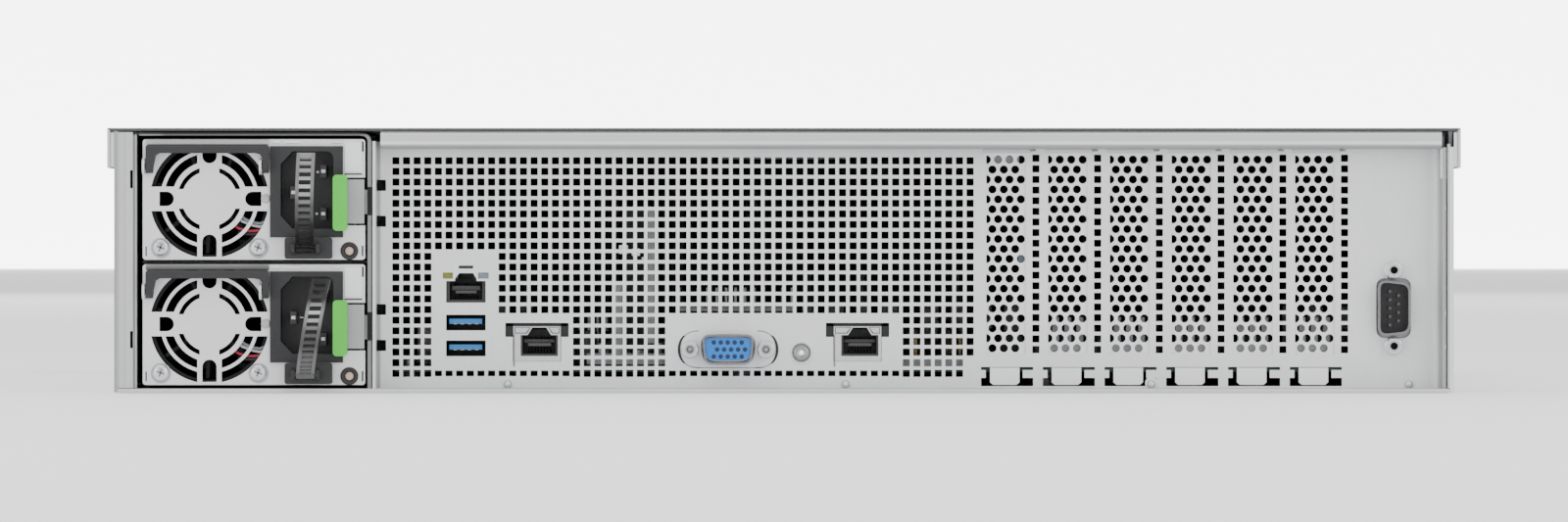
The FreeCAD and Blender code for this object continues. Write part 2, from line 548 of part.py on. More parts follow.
bp = B(-214.0, 214.0, BPY, BPY + 2.4, 2.0, 84.0)
bp_cuts = []
for x in BAY_X:
    for z in BAY_Z:
        bp_cuts.append(B(x - 46, x + 12, BPY - 1, BPY + 4, z + 17.0, z + 23.0))
bp = cut(bp, bp_cuts)
conns = []
for x in BAY_X:
    for z in BAY_Z:
        conns.append(B(x - 36, x + 6, BPY - 6.0, BPY, z + 5.0, z + 10.0))
bp = fuse(bp, *conns)
save("drive_backplane", bp)

Y_CAR = -359.0           # outer face of the carriers
Y_DRV0 = -340.0
HEX = 3.4


def carrier_front(x, z0, lever):
    """moulded front of one carrier: vent field on the left, lever recess across the middle"""
    f = rbox(x - BAY_W / 2, x + BAY_W / 2, Y_CAR, Y_CAR + 14.0, z0, z0 + BAY_H - 0.9, 1.2, "y")
    holes = []
    z_mid = z0 + (BAY_H - 0.9) / 2
    for r_ in range(5):
        for c_ in range(22):
            hx = x - BAY_W / 2 + 9.0 + c_ * 4.0 + (2.0 if r_ % 2 else 0.0)
            hz = z_mid + (r_ - 2) * 4.3
            if lever and abs(r_ - 2) < 2 and hx < x + 46:
                continue
            if hx > x + BAY_W / 2 - 10:
                continue
            holes.append(prism(ngon(hx, hz, 1.55, 6), "y", Y_CAR - 1, Y_CAR + 15))
    return f, holes, z_mid


def tray(x, z0):
    f, holes, zm = carrier_front(x, z0, True)
    recess = B(x - 44.0, x + 46.0, Y_CAR - 1, Y_CAR + 9.0, zm - 6.6, zm + 6.6)
    f = cut(f, holes + [recess])
    hinge = [B(x - 44.0, x - 38.0, Y_CAR + 1.2, Y_CAR + 9.2, zm - 6.6, zm - 5.2),
             B(x - 44.0, x - 38.0, Y_CAR + 1.2, Y_CAR + 9.2, zm + 5.2, zm + 6.6),
             CZ(1.5, x - 41.0, Y_CAR + 4.6, zm - 6.5, zm + 6.5)]
    rails = [B(x - BAY_W / 2 + 0.3, x - BAY_W / 2 + 1.3, Y_CAR + 13.5, BPY - 12.0, z0 + 0.4, z0 + 20.0),
             B(x + BAY_W / 2 - 1.3, x + BAY_W / 2 - 0.3, Y_CAR + 13.5, BPY - 12.0, z0 + 0.4, z0 + 20.0),
             B(x - BAY_W / 2 + 0.3, x + BAY_W / 2 - 0.3, Y_CAR + 13.5, Y_CAR + 15.0, z0 + 0.4, z0 + 20.0),
             B(x - BAY_W / 2 + 0.3, x - 44.0, Y_CAR + 13.5, BPY - 12.0, z0 + 0.4, z0 + 1.2),
             B(x + 44.0, x + BAY_W / 2 - 0.3, Y_CAR + 13.5, BPY - 12.0, z0 + 0.4, z0 + 1.2)]
    rails[2] = cut(rails[2], [prism(ngon(x + q, z0 + 10.5, 4.0, 6), "y", Y_CAR + 10, Y_CAR + 18) for q in (-30, -18, -6, 6, 18, 30)])
    return fuse(f, *(hinge + rails))


def lever(x, z0):
    zm = z0 + (BAY_H - 0.9) / 2
    bar = rbox(x - 37.6, x + 45.4, Y_CAR + 0.3, Y_CAR + 4.0, zm - 5.9, zm + 5.9, 1.2, "y")
    grip = B(x + 38.0, x + 45.4, Y_CAR + 3.9, Y_CAR + 8.4, zm - 5.9, zm + 5.9)
    eye = fuse(CZ(2.8, x - 41.0, Y_CAR + 4.6, zm - 4.9, zm + 4.9), B(x - 41.0, x - 37.0, Y_CAR + 1.5, Y_CAR + 6.8, zm - 4.9, zm + 4.9))
    # the bar narrows beside its pivot so that it swings clear of the two hinge blocks
    bar = cut(bar, [B(x - 39.0, x - 34.6, Y_CAR - 1, Y_CAR + 5, zm + q * 4.9, zm + q * 7.0) for q in (-1, 1)])
    s = fuse(bar, grip, eye)
    slots = [prism(ngon(x - 30.0 + 5.2 * c_ + (2.6 if r_ else 0), zm + (-2.2 if r_ else 2.2), 1.5, 6), "y", Y_CAR - 1, Y_CAR + 5) for r_ in (0, 1) for c_ in range(12)]
    s = cut(s, [CZ(1.56, x - 41.0, Y_CAR + 4.6, zm - 8, zm + 8)] + slots)
    return s


def drive(x, z0):
    d = rbox(x - 50.7, x + 50.7, Y_DRV0, Y_DRV0 + 147.0, z0 + 1.4, z0 + 22.4 + 2.0, 2.0, "z")
    lid = B(x - 46, x + 46, Y_DRV0 + 5, Y_DRV0 + 125, z0 + 24.3, z0 + 24.9)
    return fuse(d, lid)


POP = ((3, 2), (3, 1), (3, 0))     # populated bays: one column, top to bottom
n = 0
fillers = []
for ci, x in enumerate(BAY_X):
    for ri, z in enumerate(BAY_Z):
        if ci == 0:
            n += 1
            save("drive_tray_%d" % (3 - ri), tray(x, z))
            save("drive_lever_%d" % (3 - ri), lever(x, z))
            save("hard_drive_%d" % (3 - ri), drive(x, z))
        else:
            f, holes, zm = carrier_front(x, z, False)
            f = cut(f, holes)
            box = B(x - BAY_W / 2 + 1.0, x + BAY_W / 2 - 1.0, Y_CAR + 14.0, Y_CAR + 60.0, z + 0.4, z + 1.4)
            fillers += [f, box]
save("drive_fillers", fillers)

# ------------------------------------------------------------------ power distribution board
PDY = 146.0
pd = cut(B(137.6, 211.4, PDY - 2.0, PDY, 3.0, 83.4), [])
pdc = []
for z0 in PSU_Z:
    cz = z0 + 12.0
    pdc.append(cut(B(145.0, 196.4, PDY - 0.05, PDY + 9.0, cz - 4.2, cz + 4.2), [B(147.6, 193.8, PDY + 1.0, PDY + 10.0, cz - 1.2, cz + 1.2)]))
hdr = [B(150.0, 190.0, PDY - 10.0, PDY - 1.95, 30.0, 38.0), B(150.0, 176.0, PDY - 10.0, PDY - 1.95, 64.0, 72.0)]
save("power_board", fuse(pd, *(pdc + hdr)))


# ------------------------------------------------------------------ internal harness, power board to backplane
def tube(points, r, r_bend):
    """straight runs joined by tangent arcs"""
    edges = []
    p = [V(*q) for q in points]
    start = p[0]
    for i in range(1, len(p) - 1):
        a, b, c = p[i - 1], p[i], p[i + 1]
        u, w = (a - b), (c - b)
        lu, lw = u.Length, w.Length
        u.normalize()
        w.normalize()
        ang = math.acos(max(-1, min(1, u.dot(w))))
        t = r_bend / math.tan(ang / 2)
        s1, s2 = b + u * t, b + w * t
        bis = (u + w)
        bis.normalize()
        centre = b + bis * (r_bend / math.sin(ang / 2))
        mid = centre - bis * r_bend
        if (s1 - start).Length > 1e-6:
            edges.append(Part.LineSegment(start, s1).toShape())
        edges.append(Part.Arc(s1, mid, s2).toShape())
        start = s2
    edges.append(Part.LineSegment(start, p[-1]).toShape())
    w = Part.Wire(edges)
    d = (p[1] - p[0])
    d.normalize()
    c = Part.Wire([Part.makeCircle(r, p[0], d)])
    s = w.makePipeShell([c], True, True)
    s = s.Solids[0] if s.Solids else Part.Solid(Part.Shell(s.Faces))
    print("   tube length %.1f, volume ratio %.4f, bend radius %.1f" % (w.Length, s.Volume / (math.pi * r * r * w.Length), r_bend))
    return s


harness = []
for q, (z, x) in enumerate(((34.0, 186.0), (34.0, 178.0), (34.0, 170.0), (68.0, 168.0), (68.0, 160.0))):
    z2 = 20.0 + 9.0 * q
    harness.append(tube([(x, PDY - 10.1, z), (x, 112.0, z), (x + 8.0, 70.0, z2), (x + 8.0, -120.0, z2), (x, -150.0, z2 + 1.0), (x, BPY + 2.5, z2 + 1.0)], 2.6, 30.0))
save("power_harness", harness)

# ------------------------------------------------------------------ rack ears with handle pods
def ear(s):
    fl = B(s * 218.7, s * 241.3, YF - 2.0, YF, 0.6, 86.2)
    fl = fl.makeFillet(2.0, [e for e in fl.Edges if abs((e.Vertexes[1].Point - e.Vertexes[0].Point).y) > 1 and abs(e.Vertexes[0].Point.x) > 240])
    slots = []
    for z in (5.3, 81.5):
        slots.append(fuse(B(s * 232.55 - 1.6, s * 232.55 + 1.6, YF - 3, YF + 1, z - 3.4, z + 3.4),
                          CY(3.4, s * 232.55 - 1.6, z, YF - 3, YF + 1), CY(3.4, s * 232.55 + 1.6, z, YF - 3, YF + 1)))
    fl = cut(fl, slots)
    leg = B(s * (BW + 0.05), s * (BW + 1.25), YF - 0.05, YF + 45.0, 6.0, 72.0)
    leg = cut(leg, [CX(2.2, YF + 32.0, z, s * (BW - 1), s * (BW + 3)) for z in (14.0, 38.0, 62.0)])
    pod = rbox(s * 219.0, s * 240.4, -Y_MAX, YF - 1.95, 14.0, 73.0, 3.0, "y")
    pod = pod.makeFillet(1.2, [e for e in pod.Edges if all(abs(v.Point.y + Y_MAX) < 1e-4 for v in e.Vertexes)])
    # finger recess on the outer side
    rec = rbox(s * 233.0, s * 245.0, -Y_MAX + 8.0, YF - 5.0, 24.0, 63.0, 3.0, "x")
    pod = cut(pod, [rec])
    if s < 0:
        pod = cut(pod, [CY(5.0, s * 230.0, 66.5, -Y_MAX - 1, -Y_MAX + 6.0)])
    return fuse(fl, leg, pod)


save("left_ear", ear(-1))
save("right_ear", ear(1))
save("power_button", fuse(CY(4.6, -230.0, 66.5, -Y_MAX + 0.4, -Y_MAX + 4.0)))

# ------------------------------------------------------------------ rear identification button
save("id_button", fuse(CY(2.55, ID_X, ID_Z, Y_PANEL - 4.0, Y_PANEL + 0.9), CY(3.6, ID_X, ID_Z, Y_PANEL - 4.0, Y_PANEL - 2.4)))

# ------------------------------------------------------------------ fasteners: board screws and rivets along the foot of the rear panel
screws = [CZ(2.9, x, y, BOARD_Z + 0.02, BOARD_Z + 2.0) for x, y in STANDOFFS]
for x in (90.9, -20.3, -120.9, -205.7):
    screws.append(Part.makeSphere(1.5, V(x, Y_PANEL - 0.2, 2.5)).common(B(x - 3, x + 3, Y_PANEL + 0.01, Y_PANEL + 3, 1.3, 6)))
save("fasteners", screws)

# ------------------------------------------------------------------ cover interlock slide
il = cut(B(ILX - 7, ILX + 7, ILY - 10, ILY + 10, 74.4, 80.4), [B(ILX - 4.3, ILX + 4.3, ILY - 1.0, ILY + 1.0, 75.4, 81.0)])
save("interlock_slide", il)

# ------------------------------------------------------------------ top cover
CT = 1.0
top_sheet = B(-CW, CW, COVER_Y0, YR, H - CT, H)
LX, LY = 0.0, 80.0           # latch position
pocket = B(LX - 22.0, LX + 22.0, LY - 62.0, LY + 20.0, H - CT - 1, H + 1)
parts = [top_sheet]
for s in (-1, 1):
    fl = B(s * (CW - CT), s * CW, COVER_Y0, YR, 73.6, H - CT + 0.05)
    slots = []
    for y in pins_y:
        # a notch open downwards and long enough for the cover's slide
        slots.append(B(s * (CW - CT - 1), s * (CW + 1), y - COVER_SLIDE - 2.3, y + 2.3, 72.0, 81.9))
    parts.append(cut(fl, slots))
cov = fuse(*parts)
pan = cut(B(LX - 23.0, LX + 23.0, LY - 63.0, LY + 21.0, H - 8.0, H - CT + 0.05), [B(LX - 22.0, LX + 22.0, LY - 62.0, LY + 20.0, H - 7.0, H + 1)])
tab = B(ILX - 4.0, ILX + 4.0, ILY - 0.6, ILY + 0.6, 76.4, H - CT + 0.05)
# stiffening ribs pressed into the sheet, standing 0.6 mm below it
ribs = [B(x - 3, x + 3, COVER_Y0 + 30, y1, H - CT - 0.6, H - CT + 0.05) for x, y1 in ((-140.0, 305.0), (-70.0, 305.0), (90.0, 305.0), (160.0, 130.0))]
cov = cut(cov, [pocket])
cov = fuse(cov, pan, tab, *ribs)
lugs = [B(LX + s * 19.0, LX + s * 22.05, LY + 8.0, LY + 17.0, H - 7.05, H - 1.4) for s in (-1, 1)]
cov = fuse(cov, *lugs)
cov = cut(cov, [CX(1.56, LY + 12.5, H - 4.2, LX - 22.0, LX + 22.0)])
save("top_cover", cov)

# recessed latch lever on the cover, lying flush, hinged at its rear end
lev = rbox(LX - 17.8, LX + 17.8, LY - 60.5, LY + 12.5, H - 2.8, H - 0.3, 2.4, "z")
lev = cut(lev, [B(LX - 12.0, LX + 12.0, LY - 56.0, LY - 40.0, H - 4.0, H + 1)])
barrel = CX(2.6, LY + 12.5, H - 4.2, LX - 17.8, LX + 17.8)
web = B(LX - 17.8, LX + 17.8, LY + 9.9, LY + 14.4, H - 4.4, H - 2.0)
lev = fuse(lev, barrel, web)
pinrod = CX(1.5, LY + 12.5, H - 4.2, LX - 21.6, LX + 21.6)
save("cover_latch", fuse(lev, pinrod))

# ------------------------------------------------------------------ power supplies
def ring_arc(cx, cz, r0, r1, a0, a1, y0, y1):
    """annular sector tool"""
    o = CY(r1, cx, cz, y0, y1).cut(CY(r0, cx, cz, y0 - 1, y1 + 1))
    R = r1 * 2.2
    pts = [(cx, cz)]
    for k in range(5):
        a = math.radians(a0 + (a1 - a0) * k / 4.0)
        pts.append((cx + R * math.cos(a), cz + R * math.sin(a)))
    return o.common(prism(pts, "y", y0, y1))


def psu(tag, z0):
    X1 = PSU_X                 # +X side, left as seen from the rear
    X0 = PSU_X - PSU_W
    Y1 = PSU_Y
    Y0 = Y1 - PSU_D
    u = lambda a: X1 - a       # distance from the +X side
    v = lambda b: z0 + b
    T = 0.8
    fx, fz = u(21.9), v(20.0)
    body = B(X0, X1, Y0, Y1, v(0), v(PSU_H))
    body = body.makeFillet(1.0, [e for e in body.Edges if abs((e.Vertexes[1].Point - e.Vertexes[0].Point).y) > 1])
    tp = PSU_H - T
    # sheets of the case: floor, lid, two sides (the inner one stops round the latch arm), front pieces, inner end
    sheets = [B(X0, X1, Y0 + T, Y1 - 1.0, v(0), v(T)), B(X0, X1, Y0 + T, Y1 - 1.0, v(tp), v(PSU_H)),
              B(X1 - T, X1, Y0 + T, Y1 - 1.0, v(T), v(tp)), B(X0, X0 + T, Y0 + T, Y1 - 32.0, v(T), v(tp)),
              B(X0, X0 + T, Y1 - 32.0, Y1 - 1.0, v(T), v(11.3)), B(X0, X0 + T, Y1 - 32.0, Y1 - 1.0, v(27.0), v(tp)),
              B(u(42.2), X1, Y1 - 1.0, Y1, v(0), v(PSU_H)), B(X0, u(42.2), Y1 - 1.0, Y1, v(0), v(7.7)),
              B(X0, u(42.2), Y1 - 1.0, Y1, v(37.0), v(PSU_H)), B(X0, u(63.8), Y1 - 1.0, Y1, v(7.7), v(11.3)),
              B(X0, u(63.8), Y1 - 1.0, Y1, v(27.0), v(37.0)), B(X0, X1, Y0, Y0 + T, v(0), v(PSU_H))]
    c = [body.common(q) for q in sheets]
    tools = []
    ya, yb = Y1 - 2.0, Y1 + 1.0
    for sx in (-1, 1):
        for sz in (-1, 1):
            for r0, r1, off in ((9.1, 10.6, 3.2), (12.3, 15.0, 4.0), (16.15, 19.5, 4.0)):
                ring = CY(r1, fx, fz, ya, yb).cut(CY(r0, fx, fz, ya - 1, yb + 1))
                tools.append(ring.common(B(fx + sx * off, fx + sx * 25, ya, yb, fz + sz * off, fz + sz * 25)))
    # four round-ended openings between the paired spokes
    for a, r_end in ((0, 16.4), (90, 19.0), (180, 17.0), (270, 17.6)):
        t = fuse(B(fx + 11.7 + 2.35, fx + r_end, ya, yb, fz - 2.35, fz + 2.35), CY(2.35, fx + 11.7 + 2.35, fz, ya, yb))
        t.rotate(V(fx, 0, fz), V(0, 1, 0), a)
        tools.append(t)
    # indicator
    c[7] = cut(c[7], [CY(2.4, u(67.8), v(2.9), ya, yb)])
    # exhaust slots in the inner end and an opening for the edge connector
    vents = [B(u(64.0), u(14.8), Y0 - 1, Y0 + 2, v(9.6), v(14.4))]
    vents += [B(u(9.0 + 5.0 * q + 2.6), u(9.0 + 5.0 * q), Y0 - 1, Y0 + 2, v(18.5), v(35.0)) for q in range(12)]
    c[6] = cut(c[6], tools)
    c[11] = cut(c[11], vents)
    # two small ears that carry the handle's pivots
    px_y, px_z = Y1 + 2.7, v(30.7)
    ears = []
    for ua, ub in ((0.0, 0.8), (38.35, 39.15)):
        e = fuse(B(u(ub), u(ua), Y1 + 0.02, Y1 + 2.7, v(28.0), v(33.2)), CX(2.6, px_y, px_z, u(ub), u(ua)))
        ears.append(cut(e, CX(1.06, px_y, px_z, u(ub) - 1, u(ua) + 1)))
    save("psu_%s_case" % tag, c + ears)

    # mains inlet: moulded frame with a chamfered socket, three pins, and the block that holds the cord strap
    ys, yo = Y1 - 12.4, Y1 + 1.2
    fr = [B(u(63.4), u(42.4), Y1 - 14.0, ys, v(7.9), v(36.8)),
          B(u(63.4), u(42.4), ys, yo, v(7.9), v(10.2)), B(u(63.4), u(42.4), ys, yo, v(35.6), v(36.8)),
          B(u(45.3), u(42.4), ys, yo, v(10.2), v(35.6)), B(u(63.4), u(62.6), ys, yo, v(10.2), v(35.6))]
    for tri in (((45.3, 31.4), (45.3, 35.6), (49.2, 35.6)), ((45.3, 14.4), (45.3, 10.2), (49.2, 10.2)),
                ((62.6, 33.6), (62.6, 35.6), (62.0, 35.0)), ((62.0, 35.0), (62.6, 35.6), (60.6, 35.6))):
        fr.append(prism([(u(a_), v(b_)) for a_, b_ in tri], "y", ys, yo))
    for ua, ub, va, vb in ((41.8, 65.75, 7.35, 7.9), (41.8, 65.75, 36.8, 37.3), (41.8, 42.4, 7.9, 36.8),
                           (63.4, 65.75, 7.9, 11.0), (63.4, 65.75, 27.4, 36.8), (63.4, 63.6, 11.0, 27.4)):
        fr.append(B(u(ub), u(ua), Y1 + 0.05, yo, v(va), v(vb)))
    pins_ = [B(u(60.2), u(58.2), Y1 - 12.4, Y1 - 1.5, v(22.1 + d - 2.0), v(22.1 + d + 2.0)) for d in (-7, 7)]
    pins_.append(B(u(50.4), u(48.4), Y1 - 12.4, Y1 - 0.2, v(20.1), v(24.1)))
    st_y, st_z = Y1 + 5.9, v(3.6)
    sb = rbox(u(62.3), u(46.7), Y1 + 0.05, Y1 + 4.0, v(0.3), v(7.2), 0.8, "y")
    cheeks = [fuse(B(u(q + 1.2), u(q), Y1 + 4.0, st_y, st_z - 1.7, st_z + 1.7), CX(1.7, st_y, st_z, u(q + 1.2), u(q))) for q in (48.9, 57.1)]
    cheeks = [cut(q, [CX(0.86, st_y, st_z, u(59.5), u(47.0))]) for q in cheeks]
    save("psu_%s_inlet" % tag, fr + pins_ + [sb] + cheeks)

    save("psu_%s_fan_frame" % tag, fan_frame(fx, fz, 37.4, Y1 - 30.0, Y1 - 2.2, 18.35, 3.0, 9.0, 1.6, 32.0, 1.6))
    save("psu_%s_fan_rotor" % tag, rotor(fx, fz, 17.9, 8.8, Y1 - 26.4, Y1 - 3.4, 7))

    # bail handle standing up round the top of the grille, hinged at the foot of its arms
    outer = [(u(1.2), v(28.0)), (u(1.2), v(37.2)), (u(1.8), v(37.7)), (u(40.9), v(37.7)), (u(41.5), v(37.2)), (u(41.5), v(28.0)),
             (u(39.5), v(28.0)), (u(39.45), v(33.4)), (u(38.6), v(34.6)), (u(36.8), v(35.0)), (u(5.6), v(35.0)), (u(4.4), v(34.2)),
             (u(3.7), v(31.0)), (u(3.5), v(28.0))]
    h = prism(outer, "y", Y1 + 0.4, Y1 + 5.0)
    side = fuse(rbox(u(42.0), u(1.0), Y1 + 0.4, Y1 + 5.0, px_z, v(37.7), 1.1, "x"), B(u(42.0), u(1.0), Y1 + 0.4, Y1 + 5.0, px_z, px_z + 3.0),
                CX(2.3, px_y, px_z, u(42.0), u(1.0)))
    h = h.common(side)
    h = fuse(h, CX(1.0, px_y, px_z, u(1.5), u(0.02)), CX(1.0, px_y, px_z, u(39.8), u(38.35)))
    save("psu_%s_handle" % tag, h)

    # release latch: spring-steel arm along the case side, catch that enters the cage window
    arm = B(u(72.7), u(72.0), Y1 - 29.0, Y1 - 1.2, v(11.9), v(26.4))
    front = B(u(72.7), u(65.95), Y1 - 1.3, Y1 - 0.5, v(11.9), v(26.4))
    neck = B(u(66.7), u(65.95), Y1 - 1.3, Y1 + 1.8, v(11.9), v(26.4))
    catch = prism([(u(72.6), Y1 - 6.4), (u(74.9), Y1 - 2.6), (u(74.9), Y1 - 2.0), (u(72.6), Y1 - 2.0)], "z", v(15.0), v(23.0))
    root = CZ(0.45, u(72.35), Y1 - 29.0, v(11.9), v(26.4))       # rounded root that the arm bends about
    save("psu_%s_latch" % tag, fuse(arm, front, neck, catch, root))
    rt = rbox(u(67.3), u(62.7), Y1 + 1.8, Y1 + 9.0, v(9.5), v(27.85), 1.3, "y")
    save("psu_%s_release_tab" % tag, rt)

    # cord retaining strap: a strip hinged in its block that rises in a bow in front of the inlet
    lean = 0.03 if tag == "1" else 0.19      # sideways shear above the hinge, towards the cage
    rel = [(0.9, 0.4), (4.6, 1.9), (8.6, 4.8), (12.4, 9.2), (15.0, 14.6), (16.2, 20.6), (15.4, 26.4), (12.6, 31.0)]
    th = 0.55
    up, dn = [], []
    for i, (a, b) in enumerate(rel):
        a0, b0 = rel[max(0, i - 1)]
        a1, b1 = rel[min(len(rel) - 1, i + 1)]
        L = math.hypot(a1 - a0, b1 - b0)
        nx, nz = -(b1 - b0) / L, (a1 - a0) / L
        up.append((a + nx * th, b + nz * th))
        dn.append((a - nx * th, b - nz * th))
    top_y = max(q[0] for q in dn + up)
    k = (Y_MAX - st_y) / top_y
    up = [(st_y + q[0] * k, st_z + q[1]) for q in up]
    dn = [(st_y + q[0] * k, st_z + q[1]) for q in dn]
    ux = u(53.6)
    strip = prism(up + dn[::-1], "x", ux - 3.0, ux + 3.0)
    m = FreeCAD.Matrix()
    m.A13 = -lean
    m.A14 = lean * st_z
    strip = strip.transformGeometry(m)
    strip = cut(strip, [B(u(70), u(40), st_y - 3, st_y + 3, st_z - 3, st_z + 0.001)])
    strip = fuse(strip, CX(1.5, st_y, st_z, ux - 3.0, ux + 3.0), CX(0.8, st_y, st_z, u(58.3), u(48.9)))
    save("psu_%s_strap" % tag, strip)

    # circuit board with transformer, capacitors and heat sink, and the edge tongue
    pcb = B(X0 + 3.0, X1 - 3.0, Y0 + 3.0, Y1 - 34.0, v(5.0), v(6.6))
    tongue = B(u(62.2), u(17.2), Y0 - 9.0, Y0 + 3.5, v(11.2), v(12.8))
    riser = B(u(62.2), u(17.2), Y0 + 3.2, Y0 + 5.0, v(6.5), v(12.8))
    comps = [B(u(30.0), u(8.0), Y0 + 60, Y0 + 92, v(6.5), v(34.0)), CZ(11.0, u(52.0), Y0 + 122, v(6.5), v(36.0)),
             CZ(11.0, u(28.0), Y0 + 122, v(6.5), v(36.0)), B(u(60.0), u(56.0), Y0 + 15, Y0 + 105, v(6.5), v(33.0)),
             B(u(20.0), u(6.0), Y0 + 14, Y0 + 44, v(6.5), v(22.0)), CZ(5.0, u(44.0), Y0 + 40, v(6.5), v(26.0)),
             CZ(5.0, u(32.0), Y0 + 40, v(6.5), v(26.0))]
    save("psu_%s_board" % tag, fuse(pcb, tongue, riser, *comps))


psu("1", PSU_Z[0])
psu("2", PSU_Z[1])
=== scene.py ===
import bpy, bmesh, math, random
from mathutils import Vector, Matrix


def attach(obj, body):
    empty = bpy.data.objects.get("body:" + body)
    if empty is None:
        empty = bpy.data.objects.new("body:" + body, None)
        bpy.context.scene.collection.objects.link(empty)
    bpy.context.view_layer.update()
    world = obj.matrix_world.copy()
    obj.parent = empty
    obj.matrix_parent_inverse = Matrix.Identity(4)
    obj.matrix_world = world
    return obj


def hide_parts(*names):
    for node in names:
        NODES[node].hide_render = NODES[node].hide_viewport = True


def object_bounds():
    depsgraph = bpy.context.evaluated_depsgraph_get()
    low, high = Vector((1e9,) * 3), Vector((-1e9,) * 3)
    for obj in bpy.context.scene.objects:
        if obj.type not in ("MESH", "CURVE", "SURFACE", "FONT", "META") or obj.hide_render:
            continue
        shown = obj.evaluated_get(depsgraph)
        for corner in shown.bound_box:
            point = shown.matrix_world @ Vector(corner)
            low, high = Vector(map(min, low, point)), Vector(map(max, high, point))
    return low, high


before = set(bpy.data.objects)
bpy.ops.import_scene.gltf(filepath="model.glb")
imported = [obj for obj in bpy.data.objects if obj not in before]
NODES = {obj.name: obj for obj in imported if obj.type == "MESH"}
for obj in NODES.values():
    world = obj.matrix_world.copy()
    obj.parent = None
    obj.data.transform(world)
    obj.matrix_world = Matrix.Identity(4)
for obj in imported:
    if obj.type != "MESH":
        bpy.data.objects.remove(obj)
CAD_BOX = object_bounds()
MM = 0.001
random.seed(7)

# ============================================================ camera, light, floor
lo, hi = CAD_BOX
ZC = (lo[2] + hi[2]) / 2.0
cam_data = bpy.data.cameras.new("camera")
cam = bpy.data.objects.new("camera", cam_data)
bpy.context.scene.collection.objects.link(cam)
bpy.context.scene.camera = cam
CAM_D = 3.6                                   # metres behind the plane between the panel and the supplies
cam.location = (0.0, 0.336 + CAM_D, 0.0431)
cam.rotation_euler = (math.radians(90), 0, math.radians(180))
cam_data.sensor_width = 36.0
cam_data.lens = 36.0 * CAM_D / (1600 * 0.3222e-3)
cam_data.clip_start = 0.01
cam_data.clip_end = 100.0


def area(name, loc, target, size, energy, size_y=None, col=(1, 1, 1)):
    d = bpy.data.lights.new(name, "AREA")
    d.energy = energy
    d.size = size
    if size_y:
        d.shape = "RECTANGLE"
        d.size_y = size_y
    d.color = col
    o = bpy.data.objects.new(name, d)
    bpy.context.scene.collection.objects.link(o)
    o.location = loc
    v = Vector(target) - Vector(loc)
    o.rotation_euler = v.to_track_quat("-Z", "Y").to_euler()
    return o


area("key_overhead", (0.25, 1.1, 2.2), (0, 0.2, 0.05), 2.4, 26, 2.0)
area("fill_rear", (-1.5, 2.6, 0.9), (0, 0.3, 0.05), 1.8, 22)
area("fill_rear_right", (1.7, 2.4, 0.7), (0, 0.3, 0.05), 1.6, 16)
area("front_soft", (2.09, -8.33, 5.11), (0, -0.3, 0.05), 7.0, 390)
area("side_soft", (-2.8, -0.4, 1.3), (0, 0, 0.05), 1.8, 16)
world = bpy.data.worlds.new("studio")
bpy.context.scene.world = world
world.use_nodes = True
wn = world.node_tree
wn.nodes.clear()
wo = wn.nodes.new("ShaderNodeOutputWorld")
wb = wn.nodes.new("ShaderNodeBackground")
wb.inputs["Color"].default_value = (1.0, 1.0, 1.0, 1)
wb.inputs["Strength"].default_value = 0.8
wn.links.new(wb.outputs[0], wo.inputs[0])


# ============================================================ materials
def new_mat(name):
    m = bpy.data.materials.new(name)
    m.use_nodes = True
    nt = m.node_tree
    nt.nodes.clear()
    out = nt.nodes.new("ShaderNodeOutputMaterial")
    b = nt.nodes.new("ShaderNodeBsdfPrincipled")
    nt.links.new(b.outputs[0], out.inputs[0])
    return m, nt, b


def tex_coord(nt, scale=(1, 1, 1)):
    tc = nt.nodes.new("ShaderNodeTexCoord")
    mp = nt.nodes.new("ShaderNodeMapping")
    mp.inputs["Scale"].default_value = scale
    nt.links.new(tc.outputs["Object"], mp.inputs["Vector"])
    return mp.outputs["Vector"]


def noise(nt, vec, scale, detail=3, rough=0.55, dist=0.0):
    n = nt.nodes.new("ShaderNodeTexNoise")
    n.inputs["Scale"].default_value = scale
    n.inputs["Detail"].default_value = detail
    n.inputs["Roughness"].default_value = rough
    n.inputs["Distortion"].default_value = dist
    nt.links.new(vec, n.inputs["Vector"])
    return n.outputs["Fac"]


def ramp(nt, fac, stops):
    r = nt.nodes.new("ShaderNodeValToRGB")
    el = r.color_ramp.elements
    el.remove(el[1])
    el[0].position = stops[0][0]
    el[0].color = (*stops[0][1], 1)
    for p, c in stops[1:]:
        el.new(p).color = (*c, 1)
    nt.links.new(fac, r.inputs["Fac"])
    return r.outputs["Color"]


def grey(v, tint=(1, 1, 1)):
    return (v * tint[0], v * tint[1], v * tint[2])


def mixrgb(nt, fac, a, b, mode="MIX"):
    n = nt.nodes.new("ShaderNodeMix")
    n.data_type = "RGBA"
    n.blend_type = mode
    if isinstance(fac, (int, float)):
        n.inputs[0].default_value = fac
    else:
        nt.links.new(fac, n.inputs[0])
    for i, v in ((6, a), (7, b)):
        if isinstance(v, tuple):
            n.inputs[i].default_value = (*v, 1)
        else:
            nt.links.new(v, n.inputs[i])
    return n.outputs[2]


def math_node(nt, op, a, b=None):
    n = nt.nodes.new("ShaderNodeMath")
    n.operation = op
    for i, v in ((0, a), (1, b)):
        if v is None:
            continue
        if isinstance(v, (int, float)):
            n.inputs[i].default_value = v
        else:
            nt.links.new(v, n.inputs[i])
    return n.outputs[0]


def map_range(nt, v, a, b, c, d):
    n = nt.nodes.new("ShaderNodeMapRange")
    n.inputs[1].default_value = a
    n.inputs[2].default_value = b
    n.inputs[3].default_value = c
    n.inputs[4].default_value = d
    nt.links.new(v, n.inputs[0])
    return n.outputs[0]


